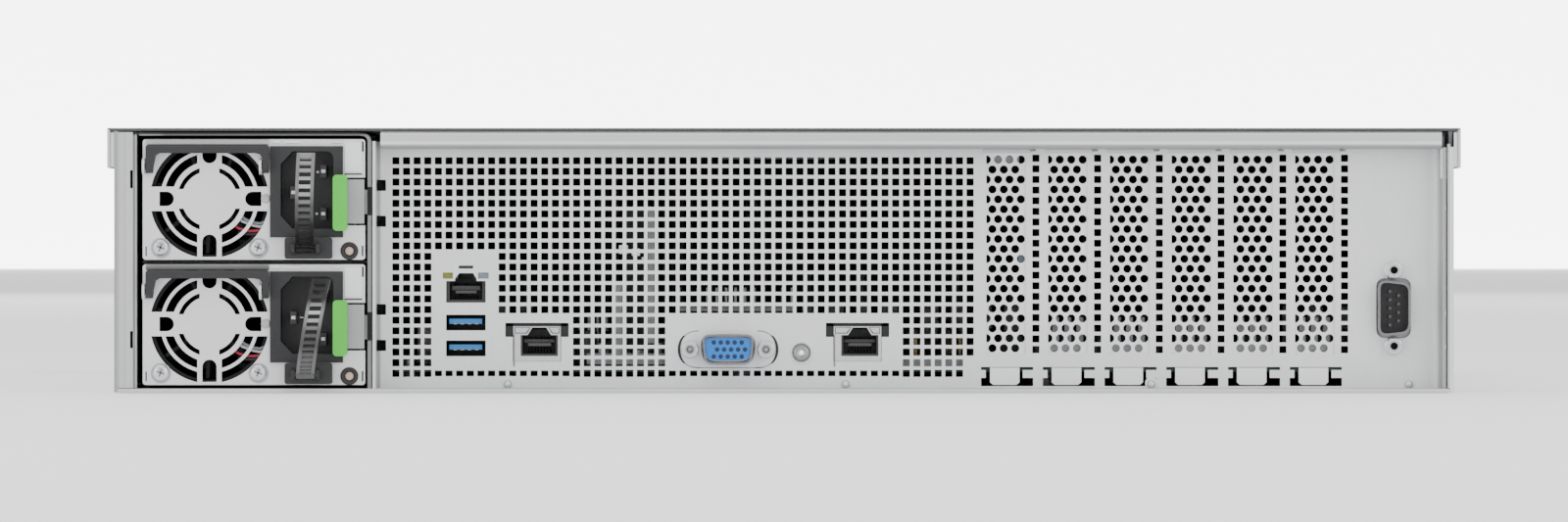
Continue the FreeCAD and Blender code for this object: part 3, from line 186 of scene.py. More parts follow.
def bump(nt, b, height, strength, distance):
    n = nt.nodes.new("ShaderNodeBump")
    n.inputs["Strength"].default_value = strength
    n.inputs["Distance"].default_value = distance
    nt.links.new(height, n.inputs["Height"])
    nt.links.new(n.outputs["Normal"], b.inputs["Normal"])
    return n


def edge_wear(nt, lo_=0.52, hi_=0.62):
    g = nt.nodes.new("ShaderNodeNewGeometry")
    return map_range(nt, g.outputs["Pointiness"], lo_, hi_, 0.0, 1.0)


def sheet_metal(name, base, metallic=0.75, rough=0.42, grain=(1, 1, 1), spangle=0.05, streak=0.03, warm=(1.0, 1.0, 1.015), cool=(0.97, 1.0, 1.01)):
    """zinc-plated or nickel-plated sheet: faint blotchy tone, fine rolled grain, roughness variation"""
    m, nt, b = new_mat(name)
    v = tex_coord(nt)
    vg = tex_coord(nt, grain)
    big = noise(nt, v, 9.0, 2, 0.5)
    mid = noise(nt, v, 65.0, 4, 0.6, 0.4)
    fine = noise(nt, vg, 900.0, 3, 0.6)
    c_big = ramp(nt, big, [(0.3, grey(base * (1 - spangle), cool)), (0.7, grey(base * (1 + spangle), warm))])
    c_mid = mixrgb(nt, map_range(nt, mid, 0.35, 0.7, 0, 0.35), c_big, grey(base * 0.9, (0.98, 1.0, 1.03)))
    c_f = mixrgb(nt, map_range(nt, fine, 0.4, 0.62, 0, streak * 6), c_mid, grey(min(1.0, base * 1.13)))
    nt.links.new(c_f, b.inputs["Base Color"])
    b.inputs["Metallic"].default_value = metallic
    nt.links.new(map_range(nt, mid, 0.3, 0.7, rough - 0.05, rough + 0.07), b.inputs["Roughness"])
    bump(nt, b, fine, 0.06, 0.0002)
    return m


def plastic(name, col, rough=0.5, grain=0.25, scale=1400.0, var=0.12, spec=0.5, coat=0.0):
    """moulded plastic with a spark-eroded texture and slight colour drift"""
    m, nt, b = new_mat(name)
    v = tex_coord(nt)
    fine = noise(nt, v, scale, 2, 0.6)
    big = noise(nt, v, 26.0, 3, 0.5)
    lo_c = tuple(c * (1 - var) for c in col)
    hi_c = tuple(min(1, c * (1 + var)) for c in col)
    c = ramp(nt, big, [(0.3, lo_c), (0.7, hi_c)])
    c = mixrgb(nt, map_range(nt, fine, 0.45, 0.7, 0, 0.25), c, tuple(min(1, k * 1.25 + 0.004) for k in col))
    nt.links.new(c, b.inputs["Base Color"])
    nt.links.new(map_range(nt, big, 0.3, 0.7, rough - 0.05, rough + 0.08), b.inputs["Roughness"])
    b.inputs["Specular IOR Level"].default_value = spec
    if coat:
        b.inputs["Coat Weight"].default_value = coat
        b.inputs["Coat Roughness"].default_value = 0.15
    bump(nt, b, fine, grain, 0.00012)
    return m


def metal(name, col, rough=0.3, var=0.08, scale=300.0, grain=(1, 1, 1), bumpy=0.05):
    m, nt, b = new_mat(name)
    v = tex_coord(nt, grain)
    n1 = noise(nt, v, scale, 4, 0.6)
    n2 = noise(nt, v, 30.0, 2, 0.5)
    c = ramp(nt, n2, [(0.3, tuple(k * (1 - var) for k in col)), (0.7, tuple(min(1, k * (1 + var)) for k in col))])
    nt.links.new(c, b.inputs["Base Color"])
    b.inputs["Metallic"].default_value = 1.0
    nt.links.new(map_range(nt, n1, 0.3, 0.7, rough - 0.06, rough + 0.1), b.inputs["Roughness"])
    bump(nt, b, n1, bumpy, 0.0001)
    return m


def pcb(name, col):
    m, nt, b = new_mat(name)
    v = tex_coord(nt)
    n1 = noise(nt, v, 40.0, 2, 0.5)
    br = nt.nodes.new("ShaderNodeTexBrick")
    br.inputs["Scale"].default_value = 160.0
    br.inputs["Mortar Size"].default_value = 0.012
    br.inputs["Color1"].default_value = (*col, 1)
    br.inputs["Color2"].default_value = (*[c * 0.8 for c in col], 1)
    br.inputs["Mortar"].default_value = (*[min(1, c * 1.9 + 0.01) for c in col], 1)
    nt.links.new(v, br.inputs["Vector"])
    c = mixrgb(nt, map_range(nt, n1, 0.3, 0.7, 0.1, 0.45), br.outputs["Color"], tuple(c * 0.7 for c in col))
    nt.links.new(c, b.inputs["Base Color"])
    nt.links.new(map_range(nt, n1, 0.3, 0.7, 0.3, 0.42), b.inputs["Roughness"])
    bump(nt, b, br.outputs["Fac"], 0.08, 0.0001)
    return m


def glow(name, col, base, strength=0.4, rough=0.25):
    """light guide or LED window"""
    m, nt, b = new_mat(name)
    v = tex_coord(nt)
    n1 = noise(nt, v, 600.0, 2, 0.5)
    c = ramp(nt, n1, [(0.3, tuple(k * 0.85 for k in base)), (0.7, base)])
    nt.links.new(c, b.inputs["Base Color"])
    nt.links.new(map_range(nt, n1, 0.3, 0.7, rough, rough + 0.1), b.inputs["Roughness"])
    b.inputs["Emission Color"].default_value = (*col, 1)
    b.inputs["Emission Strength"].default_value = strength
    return m


def along(nt, b, axis, a_mm, b_mm, stops):
    """multiply the base colour by grey factors laid out along one object axis (mm): painted shade and painted highlight
    bands
    """
    tc = nt.nodes.new("ShaderNodeTexCoord")
    sp = nt.nodes.new("ShaderNodeSeparateXYZ")
    nt.links.new(tc.outputs["Object"], sp.inputs[0])
    f = map_range(nt, sp.outputs["XYZ".index(axis)], a_mm * MM, b_mm * MM, 0.0, 1.0)
    col = ramp(nt, f, [((q - a_mm) / (b_mm - a_mm), (g, g, g)) for q, g in stops])
    src = b.inputs["Base Color"].links[0].from_socket
    nt.links.new(mixrgb(nt, 1.0, src, col, "MULTIPLY"), b.inputs["Base Color"])


def banded(maker, args, *bands):
    m = maker(*args[0], **args[1])
    nt = m.node_tree
    b = next(q for q in nt.nodes if q.type == "BSDF_PRINCIPLED")
    for band in bands:
        along(nt, b, *band)
    return m


M = {}
M["panel"] = sheet_metal("panel_zinc", 0.76, 0.35, 0.5, (1, 1, 0.12))
M["walls"] = sheet_metal("wall_zinc", 0.62, 0.5, 0.44, (0.12, 0.12, 1), spangle=0.07)
M["cover"] = sheet_metal("cover_zinc", 0.60, 0.6, 0.42, (1, 0.05, 1), spangle=0.06)
M["covers"] = sheet_metal("slot_cover_zinc", 0.80, 0.35, 0.5, (1, 1, 0.15))
M["psu"] = sheet_metal("psu_nickel", 0.75, 0.35, 0.46, (1, 1, 1), spangle=0.03, cool=(0.98, 1.0, 1.0))
M["latch"] = sheet_metal("latch_spring_steel", 0.42, 0.6, 0.4, (1, 1, 0.1), warm=(1.02, 1.0, 1.05), cool=(1.0, 0.98, 1.04))
M["tin"] = metal("port_tin", (0.62, 0.62, 0.64), 0.28, 0.06, 500)
M["smoke"] = metal("port_smoked_nickel", (0.23, 0.23, 0.24), 0.26, 0.1, 500)
M["screw"] = metal("screw_zinc", (0.64, 0.65, 0.67), 0.3, 0.08, 700)
M["gold"] = metal("contact_gold", (0.83, 0.62, 0.28), 0.25, 0.1, 900)
M["alu"] = metal("fin_aluminium", (0.72, 0.73, 0.75), 0.34, 0.06, 260, (1, 0.05, 1))
M["cast"] = metal("drive_casting", (0.45, 0.45, 0.46), 0.5, 0.1, 1500, bumpy=0.3)
M["black"] = plastic("port_black", (0.018, 0.018, 0.02), 0.5)
M["liner"] = plastic("jack_black", (0.02, 0.02, 0.022), 0.42)
M["housing"] = plastic("inlet_charcoal", (0.028, 0.028, 0.03), 0.52, 0.3, spec=0.35)
M["handle"] = plastic("handle_charcoal", (0.027, 0.027, 0.029), 0.5, 0.3, spec=0.35)
M["fan"] = plastic("fan_black", (0.009, 0.009, 0.01), 0.5, spec=0.25)
M["green"] = plastic("release_green", (0.07, 0.56, 0.045), 0.42, 0.12, 1500, 0.05)
M["blue_usb"] = plastic("usb_blue", (0.02, 0.20, 0.52), 0.35, 0.05, 1500, 0.06)
M["blue_vga"] = plastic("vga_blue", (0.004, 0.175, 0.60), 0.4, 0.05, 1500, 0.06)
M["carrier"] = plastic("carrier_black", (0.03, 0.03, 0.032), 0.55, 0.35)
M["lever"] = plastic("lever_graphite", (0.11, 0.11, 0.115), 0.45, 0.2)
M["ear"] = plastic("ear_powdercoat", (0.028, 0.028, 0.03), 0.5, 0.5, 1800)
M["socket"] = plastic("socket_black", (0.025, 0.025, 0.027), 0.5)
M["white_pl"] = plastic("latch_ivory", (0.68, 0.67, 0.62), 0.45, 0.1)
M["sleeve"] = plastic("harness_sleeve", (0.02, 0.02, 0.022), 0.7, 0.5, 500)
M["board"] = pcb("board_green", (0.02, 0.11, 0.06))
M["dimm"] = pcb("module_green", (0.018, 0.10, 0.05))
M["chip"] = plastic("chip_epoxy", (0.03, 0.03, 0.032), 0.48, 0.1)
M["lens_tan"] = glow("led_tan", (1.0, 0.6, 0.4), (0.58, 0.42, 0.32), 0.08)
M["lens_olive"] = glow("led_olive", (0.5, 0.6, 0.1), (0.16, 0.18, 0.02), 0.03)
M["lens_greyblue"] = glow("led_greyblue", (0.6, 0.7, 0.8), (0.17, 0.20, 0.24), 0.02)
M["lens_white"] = glow("led_white_painted_highlight", (1, 1, 1), (0.9, 0.9, 0.9), 0.8)
M["button"] = metal("button_nickel", (0.3, 0.3, 0.315), 0.3, 0.05, 900)
M["red"] = plastic("wire_red", (0.30, 0.012, 0.035), 0.45, 0.1)
M["wire_white"] = plastic("wire_white", (0.16, 0.19, 0.21), 0.45, 0.1)
M["strap"] = plastic("strap_nylon", (0.09, 0.09, 0.095), 0.3, 0.08, 900, 0.15, 0.5)
M["latch_blue"] = plastic("cover_latch_blue", (0.05, 0.12, 0.26), 0.42, 0.2)


# side flange: grey factors across X paint shade and highlight bands for the light on its bends
M["flange"] = banded(sheet_metal, (("flange_zinc", 0.60, 0.35, 0.5, (1, 1, 0.12)), {}), ("X", 212.4, 219.8, [(212.4, 0.9), (212.7, 0.85), (212.9, 0.34), (213.3, 0.36), (213.6, 0.86), (215.4, 0.92), (215.9, 0.8), (216.6, 0.8), (217.0, 0.9), (218.1, 0.8), (218.5, 0.62), (219.3, 0.56), (219.8, 0.5)]))
# cover's rear edge: dark grey, darkest low down, painted shade for the gap under the cover's edge
M["cover_edge"] = banded(sheet_metal, (("cover_edge", 0.32, 0.4, 0.5, (0.1, 1, 1)), {}), ("Z", 85.6, 86.8, [(85.6, 0.18), (86.35, 0.22), (86.6, 0.8), (86.8, 1.0)]))
# top folds of the supplies' faces: a lit copy for the upper supply and a darker copy in painted shade for the lower,
# both with painted shading bands along Z
M["bar_1"] = banded(sheet_metal, (("top_fold", 0.54, 0.35, 0.5, (0.1, 1, 1)), {}), ("Z", 81.0, 83.2, [(81.0, 0.6), (81.5, 0.95), (82.4, 1.0), (82.9, 0.7), (83.2, 0.45)]))
M["bar_2"] = banded(sheet_metal, (("top_fold_shaded", 0.2, 0.3, 0.55, (0.1, 1, 1)), {}), ("Z", 40.0, 42.1, [(40.0, 0.42), (40.6, 0.6), (41.3, 1.0), (42.1, 0.8)]))
# top rail: bands along Z paint a highlight on its upper fold and shade under its lower fold
M["rail"] = banded(sheet_metal, (("rail_zinc", 0.74, 0.4, 0.46, (0.1, 1, 1)), {}), ("Z", 79.8, 85.6, [(79.8, 0.42), (80.9, 0.5), (81.25, 0.6), (81.5, 1.0), (82.3, 1.0), (82.6, 0.78), (84.5, 0.8), (84.7, 1.0), (85.2, 1.0)]))
# rear panel: bands across X paint shade on its bend at the outer right edge and on a strip beside the supply cage
M["panel_main"] = banded(sheet_metal, (("panel_zinc_wide", 0.76, 0.35, 0.5, (1, 1, 0.12)), {}), ("X", -218.5, -213.0, [(-218.3, 0.52), (-217.2, 0.5), (-215.7, 0.55), (-215.1, 0.86), (-214.0, 1.0)]), ("X", 132.0, 135.6, [(132.6, 1.0), (133.0, 0.45), (133.8, 0.4), (134.1, 0.95), (135.2, 0.9)]))
# wall hem: its inner half darkened, painted shade
M["hem"] = banded(sheet_metal, (("hem_zinc", 0.74, 0.4, 0.46, (0.12, 0.12, 1)), {}), ("X", -219.7, -217.4, [(-219.6, 1.0), (-218.3, 1.0), (-218.1, 0.62), (-217.5, 0.58)]))
# cage's rear top edge: painted shadow from the cover above Z 84.7, painted highlight near its outer end
M["cage_top"] = banded(sheet_metal, (("cage_edge_zinc", 0.62, 0.3, 0.5, (0.12, 0.12, 1)), {}), ("Z", 84.2, 85.3, [(84.2, 0.5), (84.62, 0.45), (84.75, 0.06), (85.2, 0.05)]), ("X", 130.0, 215.0, [(131.0, 0.55), (203.0, 0.5), (205.0, 1.0), (211.0, 1.0)]))
M["field"] = sheet_metal("supply_bright_field", 0.86, 0.3, 0.45)
# supply cage zinc darkened far below plain zinc: painted shade on its rear edges
M["cage"] = sheet_metal("cage_zinc_painted_shade", 0.22, 0.4, 0.46, (0.12, 0.12, 1))
M["pin_hole"] = plastic("pin_hole_painted_shade", (0.004, 0.02, 0.07), 0.5, 0.05)
# pins darkened: painted shade on contacts deep inside the ports
M["pin_painted_shade"] = metal("pin_painted_shade", (0.10, 0.10, 0.105), 0.35, 0.1, 900)
# black: the own colour of a black fan lead; elsewhere painted shade in gaps, throats, holes and behind openings
M["shade"] = plastic("black_and_painted_shade", (0.012, 0.012, 0.013), 0.6, 0.1)
M["jack_grey"] = plastic("jack_grey", (0.028, 0.028, 0.03), 0.42, 0.15)
M["jack_step"] = plastic("jack_step_grey", (0.05, 0.05, 0.052), 0.42, 0.15)
M["inside"] = sheet_metal("interior_grey", 0.38, 0.2, 0.6)
M["inside_lilac"] = sheet_metal("interior_lilac", 0.3, 0.2, 0.6, warm=(1.04, 1.0, 1.08), cool=(1.0, 0.97, 1.04))
# dark interior metal: the chokes' own colour, and painted shade on the fan bracket and the heat sinks' rear faces
M["dark_metal_and_painted_shade"] = sheet_metal("interior_dark_and_painted_shade", 0.1, 0.3, 0.55)
# cord straps: grey factors along Z paint light and shade on the nylon, laid out differently for the upper and lower
# supply
M["strap_1"] = banded(plastic, (("strap_nylon_upper", (0.46, 0.46, 0.47), 0.35, 0.08, 900, 0.12, 0.12, 0.15), {}), ("Z", 45.0, 79.0, [(45.0, 0.02), (55.0, 0.04), (58.0, 0.16), (61.0, 0.22), (63.5, 0.5), (66.0, 0.85), (68.2, 1.0), (70.5, 0.62), (79.0, 0.5)]))
M["strap_2"] = banded(plastic, (("strap_nylon_lower", (0.42, 0.42, 0.43), 0.35, 0.08, 900, 0.12, 0.12, 0.15), {}), ("Z", 3.0, 38.0, [(3.0, 0.3), (12.0, 0.24), (15.5, 0.12), (20.5, 0.2), (23.0, 0.6), (26.5, 1.0), (28.8, 0.5), (30.5, 0.1), (34.0, 0.03)]))


# their rails: the same painted light and shade bands along Z
M["strap_rail_1"] = banded(plastic, (("strap_rail_upper", (0.2, 0.2, 0.205), 0.35, 0.08, 900, 0.12, 0.2, 0.1), {}), ("Z", 45.0, 79.0, [(45.0, 0.03), (55.0, 0.06), (58.0, 0.3), (61.0, 0.35), (63.5, 0.6), (68.2, 1.0), (72.0, 0.9), (79.0, 0.8)]))
M["strap_rail_2"] = banded(plastic, (("strap_rail_lower", (0.2, 0.2, 0.205), 0.35, 0.08, 900, 0.12, 0.2, 0.1), {}), ("Z", 3.0, 38.0, [(3.0, 0.75), (12.0, 0.6), (15.5, 0.3), (20.5, 0.45), (23.0, 0.8), (26.5, 1.0), (28.8, 0.6), (30.5, 0.15), (34.0, 0.06)]))


def floor_material():
    m, nt, b = new_mat("studio_floor")
    v = tex_coord(nt)
    n = noise(nt, v, 3.0, 3, 0.5)
    c = ramp(nt, n, [(0.3, (0.93, 0.93, 0.93)), (0.7, (0.95, 0.95, 0.95))])
    nt.links.new(c, b.inputs["Base Color"])
    b.inputs["Roughness"].default_value = 0.8
    b.inputs["Specular IOR Level"].default_value = 0.1
    b.inputs["Emission Color"].default_value = (1, 1, 1, 1)
    b.inputs["Emission Strength"].default_value = 0.35
    return m


me = bpy.data.meshes.new("floor")
me.from_pydata([(-60, -60, -0.0003), (60, -60, -0.0003), (60, 60, -0.0003), (-60, 60, -0.0003)], [], [(0, 1, 2, 3)])
floor = bpy.data.objects.new("floor", me)
bpy.context.scene.collection.objects.link(floor)
me.materials.append(floor_material())


def backdrop():
    """pale studio wall, faintly luminous, well behind the object as the rear view sees it"""
    m, nt, b = new_mat("studio_wall")
    n = noise(nt, tex_coord(nt), 0.7, 2, 0.5)
    nt.links.new(ramp(nt, n, [(0.3, (0.9, 0.9, 0.9)), (0.7, (0.92, 0.92, 0.92))]), b.inputs["Base Color"])
    b.inputs["Roughness"].default_value = 0.9
    b.inputs["Emission Color"].default_value = (1, 1, 1, 1)
    b.inputs["Emission Strength"].default_value = 5.0
    me_ = bpy.data.meshes.new("wall")
    me_.from_pydata([(-12, -58.0, -0.0003), (12, -58.0, -0.0003), (12, -58.0, 9.0), (-12, -58.0, 9.0)], [], [(0, 1, 2, 3)])
    o = bpy.data.objects.new("wall", me_)
    bpy.context.scene.collection.objects.link(o)
    me_.materials.append(m)


backdrop()


# ============================================================ mesh building
class Mesh:
    """collects simple shapes (millimetres) into one mesh; each shape may take its own material"""

    def __init__(self, name):
        self.name = name
        self.v, self.f, self.m, self.mats, self.smooth = [], [], [], [], []

    def mat(self, key):
        if key not in self.mats:
            self.mats.append(key)
        return self.mats.index(key)

    def add(self, verts, faces, key, smooth=False):
        o = len(self.v)
        self.v += [tuple(c * MM for c in p) for p in verts]
        k = self.mat(key)
        for f in faces:
            self.f.append(tuple(i + o for i in f))
            self.m.append(k)
            self.smooth.append(smooth)

    def box(self, x0, x1, y0, y1, z0, z1, key, bev=0.0):
        x0, x1 = sorted((x0, x1)); y0, y1 = sorted((y0, y1)); z0, z1 = sorted((z0, z1))
        if bev <= 0:
            vs = [(x, y, z) for z in (z0, z1) for y in (y0, y1) for x in (x0, x1)]
            fs = [(0, 2, 3, 1), (4, 5, 7, 6), (0, 1, 5, 4), (2, 6, 7, 3), (0, 4, 6, 2), (1, 3, 7, 5)]
            self.add(vs, fs, key)
            return
        b = min(bev, (x1 - x0) / 2.01, (y1 - y0) / 2.01, (z1 - z0) / 2.01)
        bm = bmesh.new()
        bmesh.ops.create_cube(bm, size=1.0)
        for w in bm.verts:
            w.co = Vector(((x0 + x1) / 2 + w.co.x * (x1 - x0), (y0 + y1) / 2 + w.co.y * (y1 - y0), (z0 + z1) / 2 + w.co.z * (z1 - z0)))
        bmesh.ops.bevel(bm, geom=bm.edges[:], offset=b, segments=2, profile=0.5, affect="EDGES")
        self.from_bm(bm, key)

    def from_bm(self, bm, key, smooth=False):
        bm.verts.index_update()
        vs = [tuple(w.co) for w in bm.verts]
        fs = [tuple(w.index for w in f.verts) for f in bm.faces]
        bm.free()
        self.add(vs, fs, key, smooth)

    def ring_stack(self, rings, key, close=True, caps=True, smooth=True):
        """rings: list of equal-length point loops"""
        n = len(rings[0])
        vs = [p for r in rings for p in r]
        fs = []
        for i in range(len(rings) - 1):
            for j in range(n):
                if not close and j == n - 1:
                    break
                a, b = i * n + j, i * n + (j + 1) % n
                fs.append((a, b, b + n, a + n))
        if caps:
            fs.append(tuple(range(n))[::-1])
            fs.append(tuple((len(rings) - 1) * n + j for j in range(n)))
        self.add(vs, fs, key, smooth)

    def lathe_y(self, cx, cz, prof, key, n=24, smooth=True, caps=True):
        """profile of (radius, y) turned about an axis along Y"""
        rings = []
        for r, y in prof:
            rings.append([(cx + r * math.cos(2 * math.pi * k / n), y, cz + r * math.sin(2 * math.pi * k / n)) for k in range(n)])
        self.ring_stack(rings, key, caps=caps, smooth=smooth)

    def lathe_z(self, cx, cy, prof, key, n=20, smooth=True, caps=True):
        rings = []
        for r, z in prof:
            rings.append([(cx + r * math.cos(2 * math.pi * k / n), cy + r * math.sin(2 * math.pi * k / n), z) for k in range(n)])
        self.ring_stack(rings, key, caps=caps, smooth=smooth)

    def lathe_x(self, cy, cz, prof, key, n=20, smooth=True, caps=True):
        rings = []
        for r, x in prof:
            rings.append([(x, cy + r * math.cos(2 * math.pi * k / n), cz + r * math.sin(2 * math.pi * k / n)) for k in range(n)])
        self.ring_stack(rings, key, caps=caps, smooth=smooth)

    def prism_y(self, pts, y0, y1, key):
        n = len(pts)
        vs = [(a, y0, b) for a, b in pts] + [(a, y1, b) for a, b in pts]
        fs = [tuple(range(n)), tuple(range(n, 2 * n))[::-1]] + [(i, (i + 1) % n, (i + 1) % n + n, i + n)[::-1] for i in range(n)]
        self.add(vs, fs, key)

    def tube(self, pts, r, key, n=8):
        """round wire along a list of points"""
        P = [Vector(p) for p in pts]
        rings = []
        up = Vector((0, 0, 1))
        for i, p in enumerate(P):
            d = (P[min(i + 1, len(P) - 1)] - P[max(i - 1, 0)]).normalized()
            a = d.cross(up)
            if a.length < 1e-3:
                a = d.cross(Vector((1, 0, 0)))
            a.normalize()
            b = a.cross(d).normalized()
            rings.append([tuple(p + a * r * math.cos(2 * math.pi * k / n) + b * r * math.sin(2 * math.pi * k / n)) for k in range(n)])
        self.ring_stack(rings, key)

    def build(self, body, bevel=0.0):
        me = bpy.data.meshes.new(self.name)
        me.from_pydata(self.v, [], self.f)
        for k in self.mats:
            me.materials.append(M[k])
        for p, mi, s in zip(me.polygons, self.m, self.smooth):
            p.material_index = mi
            p.use_smooth = s
        bm = bmesh.new()
        bm.from_mesh(me)
        bmesh.ops.recalc_face_normals(bm, faces=bm.faces[:])
        bm.to_mesh(me)
        bm.free()
        me.update()
        o = bpy.data.objects.new(self.name, me)
        bpy.context.scene.collection.objects.link(o)
        if bevel:
            md = o.modifiers.new("soft_edges", "BEVEL")
            md.width = bevel * MM
            md.segments = 2
            md.limit_method = "ANGLE"
            md.angle_limit = math.radians(50)
        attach(o, body)
        return o


def arc_pts(c, r, a0, a1, n):
    return [(c[0] + r * math.cos(math.radians(a0 + (a1 - a0) * k / n)), c[1] + r * math.sin(math.radians(a0 + (a1 - a0) * k / n))) for k in range(n + 1)]


# ============================================================ finishes on the carried-over CAD nodes
def paint(node, base, rules=()):
    """base finish for the node; rules give faces a second finish by where their middle lies (mm)"""
    o = NODES[node]
    me = o.data
    me.materials.clear()
    me.materials.append(M[base])
    keys = [base]
    for key, _ in rules:
        if key not in keys:
            keys.append(key)
            me.materials.append(M[key])
    if rules:
        for p in me.polygons:
            c = p.center / MM
            nn = p.normal
            idx = 0
            for key, test in rules:
                if test(c, nn):
                    idx = keys.index(key)
                    break
            p.material_index = idx
    else:
        for p in me.polygons:
            p.material_index = 0


def soft(node, width, angle=40, seg=2):
    md = NODES[node].modifiers.new("soft_edges", "BEVEL")
    md.width = width * MM
    md.segments = seg
    md.limit_method = "ANGLE"
    md.angle_limit = math.radians(angle)
    md.harden_normals = False


YP, YR, PX, PY = 332.0, 345.0, 210.4, 343.5
PZ = {1: 43.5, 2: 2.4}
LAN = (81.3, -24.2)
paint("chassis_base", "walls")
# side walls: painted shade and highlight bands on the flange and hem, and a black patch of painted shade at the top of
# the hem
paint("side_walls", "walls", [("flange", lambda c, n: c.x > 212.3 and n.y > 0.9 and c.y > 337), ("shade", lambda c, n: c.x < -217.4 and c.z > 83 and n.y > 0.9), ("hem", lambda c, n: c.x < -217.4 and n.y > 0.9 and c.y > 344)])
# the rear panel's finish carries painted shade bands
paint("rear_panel", "panel_main")
# the rail carries painted highlight and shade bands
paint("rear_top_rail", "rail")
# supply cage: dark base finish and its rear top edge both in painted shade, with a painted highlight at the edge's
# outer end
paint("psu_cage", "cage", [("cage_top", lambda c, n: n.y > 0.9 and c.z > 84.25 and c.y > 344.0)])
# the covers' bottom tongues take the brighter field finish, a painted highlight
paint("slot_covers", "covers", [("field", lambda c, n: c.z < 8.2 and c.y > 331.2 and n.y > 0.5)])
paint("motherboard", "board")


def in_jack(c, n):
    for cx in LAN:
        if cx - 6.95 < c.x < cx + 5.45 and 11.75 < c.z < 21.25 and 314 < c.y < 332.15:
            return True
    return abs(c.x - 104.7) < 6.35 and 29.4 < c.z < 39.4 and c.y > 313.5


VX, VZ, IDZ, CX_, CZ_ = 18.4, 14.0, 12.9, -200.6, 27.6
paint("lan_jacks", "tin", [("liner", lambda c, n: c.x > 96 and c.z > 27), ("liner", in_jack)])
paint("usb_ports", "liner", [("blue_usb", lambda c, n: (22.3 < c.z < 24.2 or 13.8 < c.z < 15.7) and 99.3 < c.x < 110.35 and c.y > 312.5)])
# the screws' throats take painted shade
paint("vga_port", "smoke", [
    ("blue_vga", lambda c, n: abs(c.x - VX) < 7.93 and abs(c.z - VZ) < 4.22 and 331.0 < c.y < 337.0),
    ("panel", lambda c, n: c.y < 332.05 and n.y > 0.5),
    ("shade", lambda c, n: math.hypot(abs(c.x - VX) - 12.495, c.z - VZ) < 1.31 and c.y > 331.95),
    ("screw", lambda c, n: abs(abs(c.x - VX) - 12.495) < 2.9 and c.y > 331.95),
    ("black", lambda c, n: c.y < 330.8)])
# serial port: its pins and the screws' throats take painted shade
paint("serial_port", "smoke", [
    ("pin_painted_shade", lambda c, n: c.y > 331.45 and (abs(abs(c.x - CX_) - 1.42) < 0.55) and abs(c.z - CZ_) < 6.3),
    ("shade", lambda c, n: math.hypot(abs(c.z - CZ_) - 12.495, c.x - CX_) < 1.31 and c.y > 331.95),
    ("liner", lambda c, n: abs(c.x - CX_) < 4.5 and abs(c.z - CZ_) < 8.5 and c.y < 331.45 and n.y > 0.5),
    ("screw", lambda c, n: abs(abs(c.z - CZ_) - 12.495) < 2.9 and c.y > 331.95 and abs(c.x - CX_) < 2.8)])
paint("processors", "socket", [("alu", lambda c, n: c.z > 11.2)])
# the heat sinks' rear-facing faces are darkened, painted shade
paint("cpu_heatsinks", "alu", [("dark_metal_and_painted_shade", lambda c, n: n.y > 0.5)])
paint("board_sockets", "socket", [("white_pl", lambda c, n: c.z > 13.4 and c.y < 70)])
paint("memory_modules", "dimm", [("chip", lambda c, n: 21.1 < c.z < 32.3 and abs(n.x) > 0.5 and any(abs(c.x - (x - 1.5)) < 0.05 for x in
      (120.0, 110.5, 101.0, 91.5, -9.0, -18.5, -28.0, -37.5, -52.0, -61.5, -71.0, -80.5, -179.0, -188.0, -197.0, -206.0)))])
# fan bracket darkened: painted shade inside the closed case
paint("fan_bracket", "dark_metal_and_painted_shade")
paint("fan_frames", "fan")
for k in (1, 2, 3):
    paint("fan_rotor_%d" % k, "fan")
    paint("drive_tray_%d" % k, "carrier", [("walls", lambda c, n: c.y > -344.9)])
    paint("hard_drive_%d" % k, "cast")
    paint("drive_lever_%d" % k, "lever")
paint("drive_cage", "walls", [("cover", lambda c, n: c.z > 85.3)])
paint("drive_backplane", "board", [("socket", lambda c, n: c.y < -186.1)])
paint("drive_fillers", "carrier")
paint("power_board", "board", [("socket", lambda c, n: c.y > 146.1 or c.y < 143.9)])
paint("power_harness", "sleeve")
paint("left_ear", "ear")
paint("right_ear", "ear")
paint("fasteners", "screw")
paint("interlock_slide", "black")
# the cover's rear edge face takes painted shade
paint("top_cover", "cover", [("cover_edge", lambda c, n: n.y > 0.9 and c.y > 344.5 and c.z > 85.6)])
paint("cover_latch", "latch_blue")
paint("power_button", "button")
paint("id_button", "button")
for n, z0 in PZ.items():
    p = "psu_%d_" % n
    paint(p + "case", "psu")
    paint(p + "inlet", "housing", [
        ("liner", lambda c, n_, z0=z0: PX - 62.7 < c.x < PX - 45.2 and z0 + 10.1 < c.z < z0 + 35.7 and c.y < PY + 0.9 and c.y > PY - 12.6),
        ("black", lambda c, n_, z0=z0: c.z < z0 + 7.3)])
    paint(p + "fan_frame", "fan")
    paint(p + "fan_rotor", "fan")
    paint(p + "handle", "handle")
    paint(p + "latch", "latch")
    paint(p + "release_tab", "green")
    paint(p + "board", "board", [("chip", lambda c, n_, z0=z0: c.z > z0 + 7.0)])
    soft(p + "release_tab", 0.7)
    soft(p + "handle", 0.35)

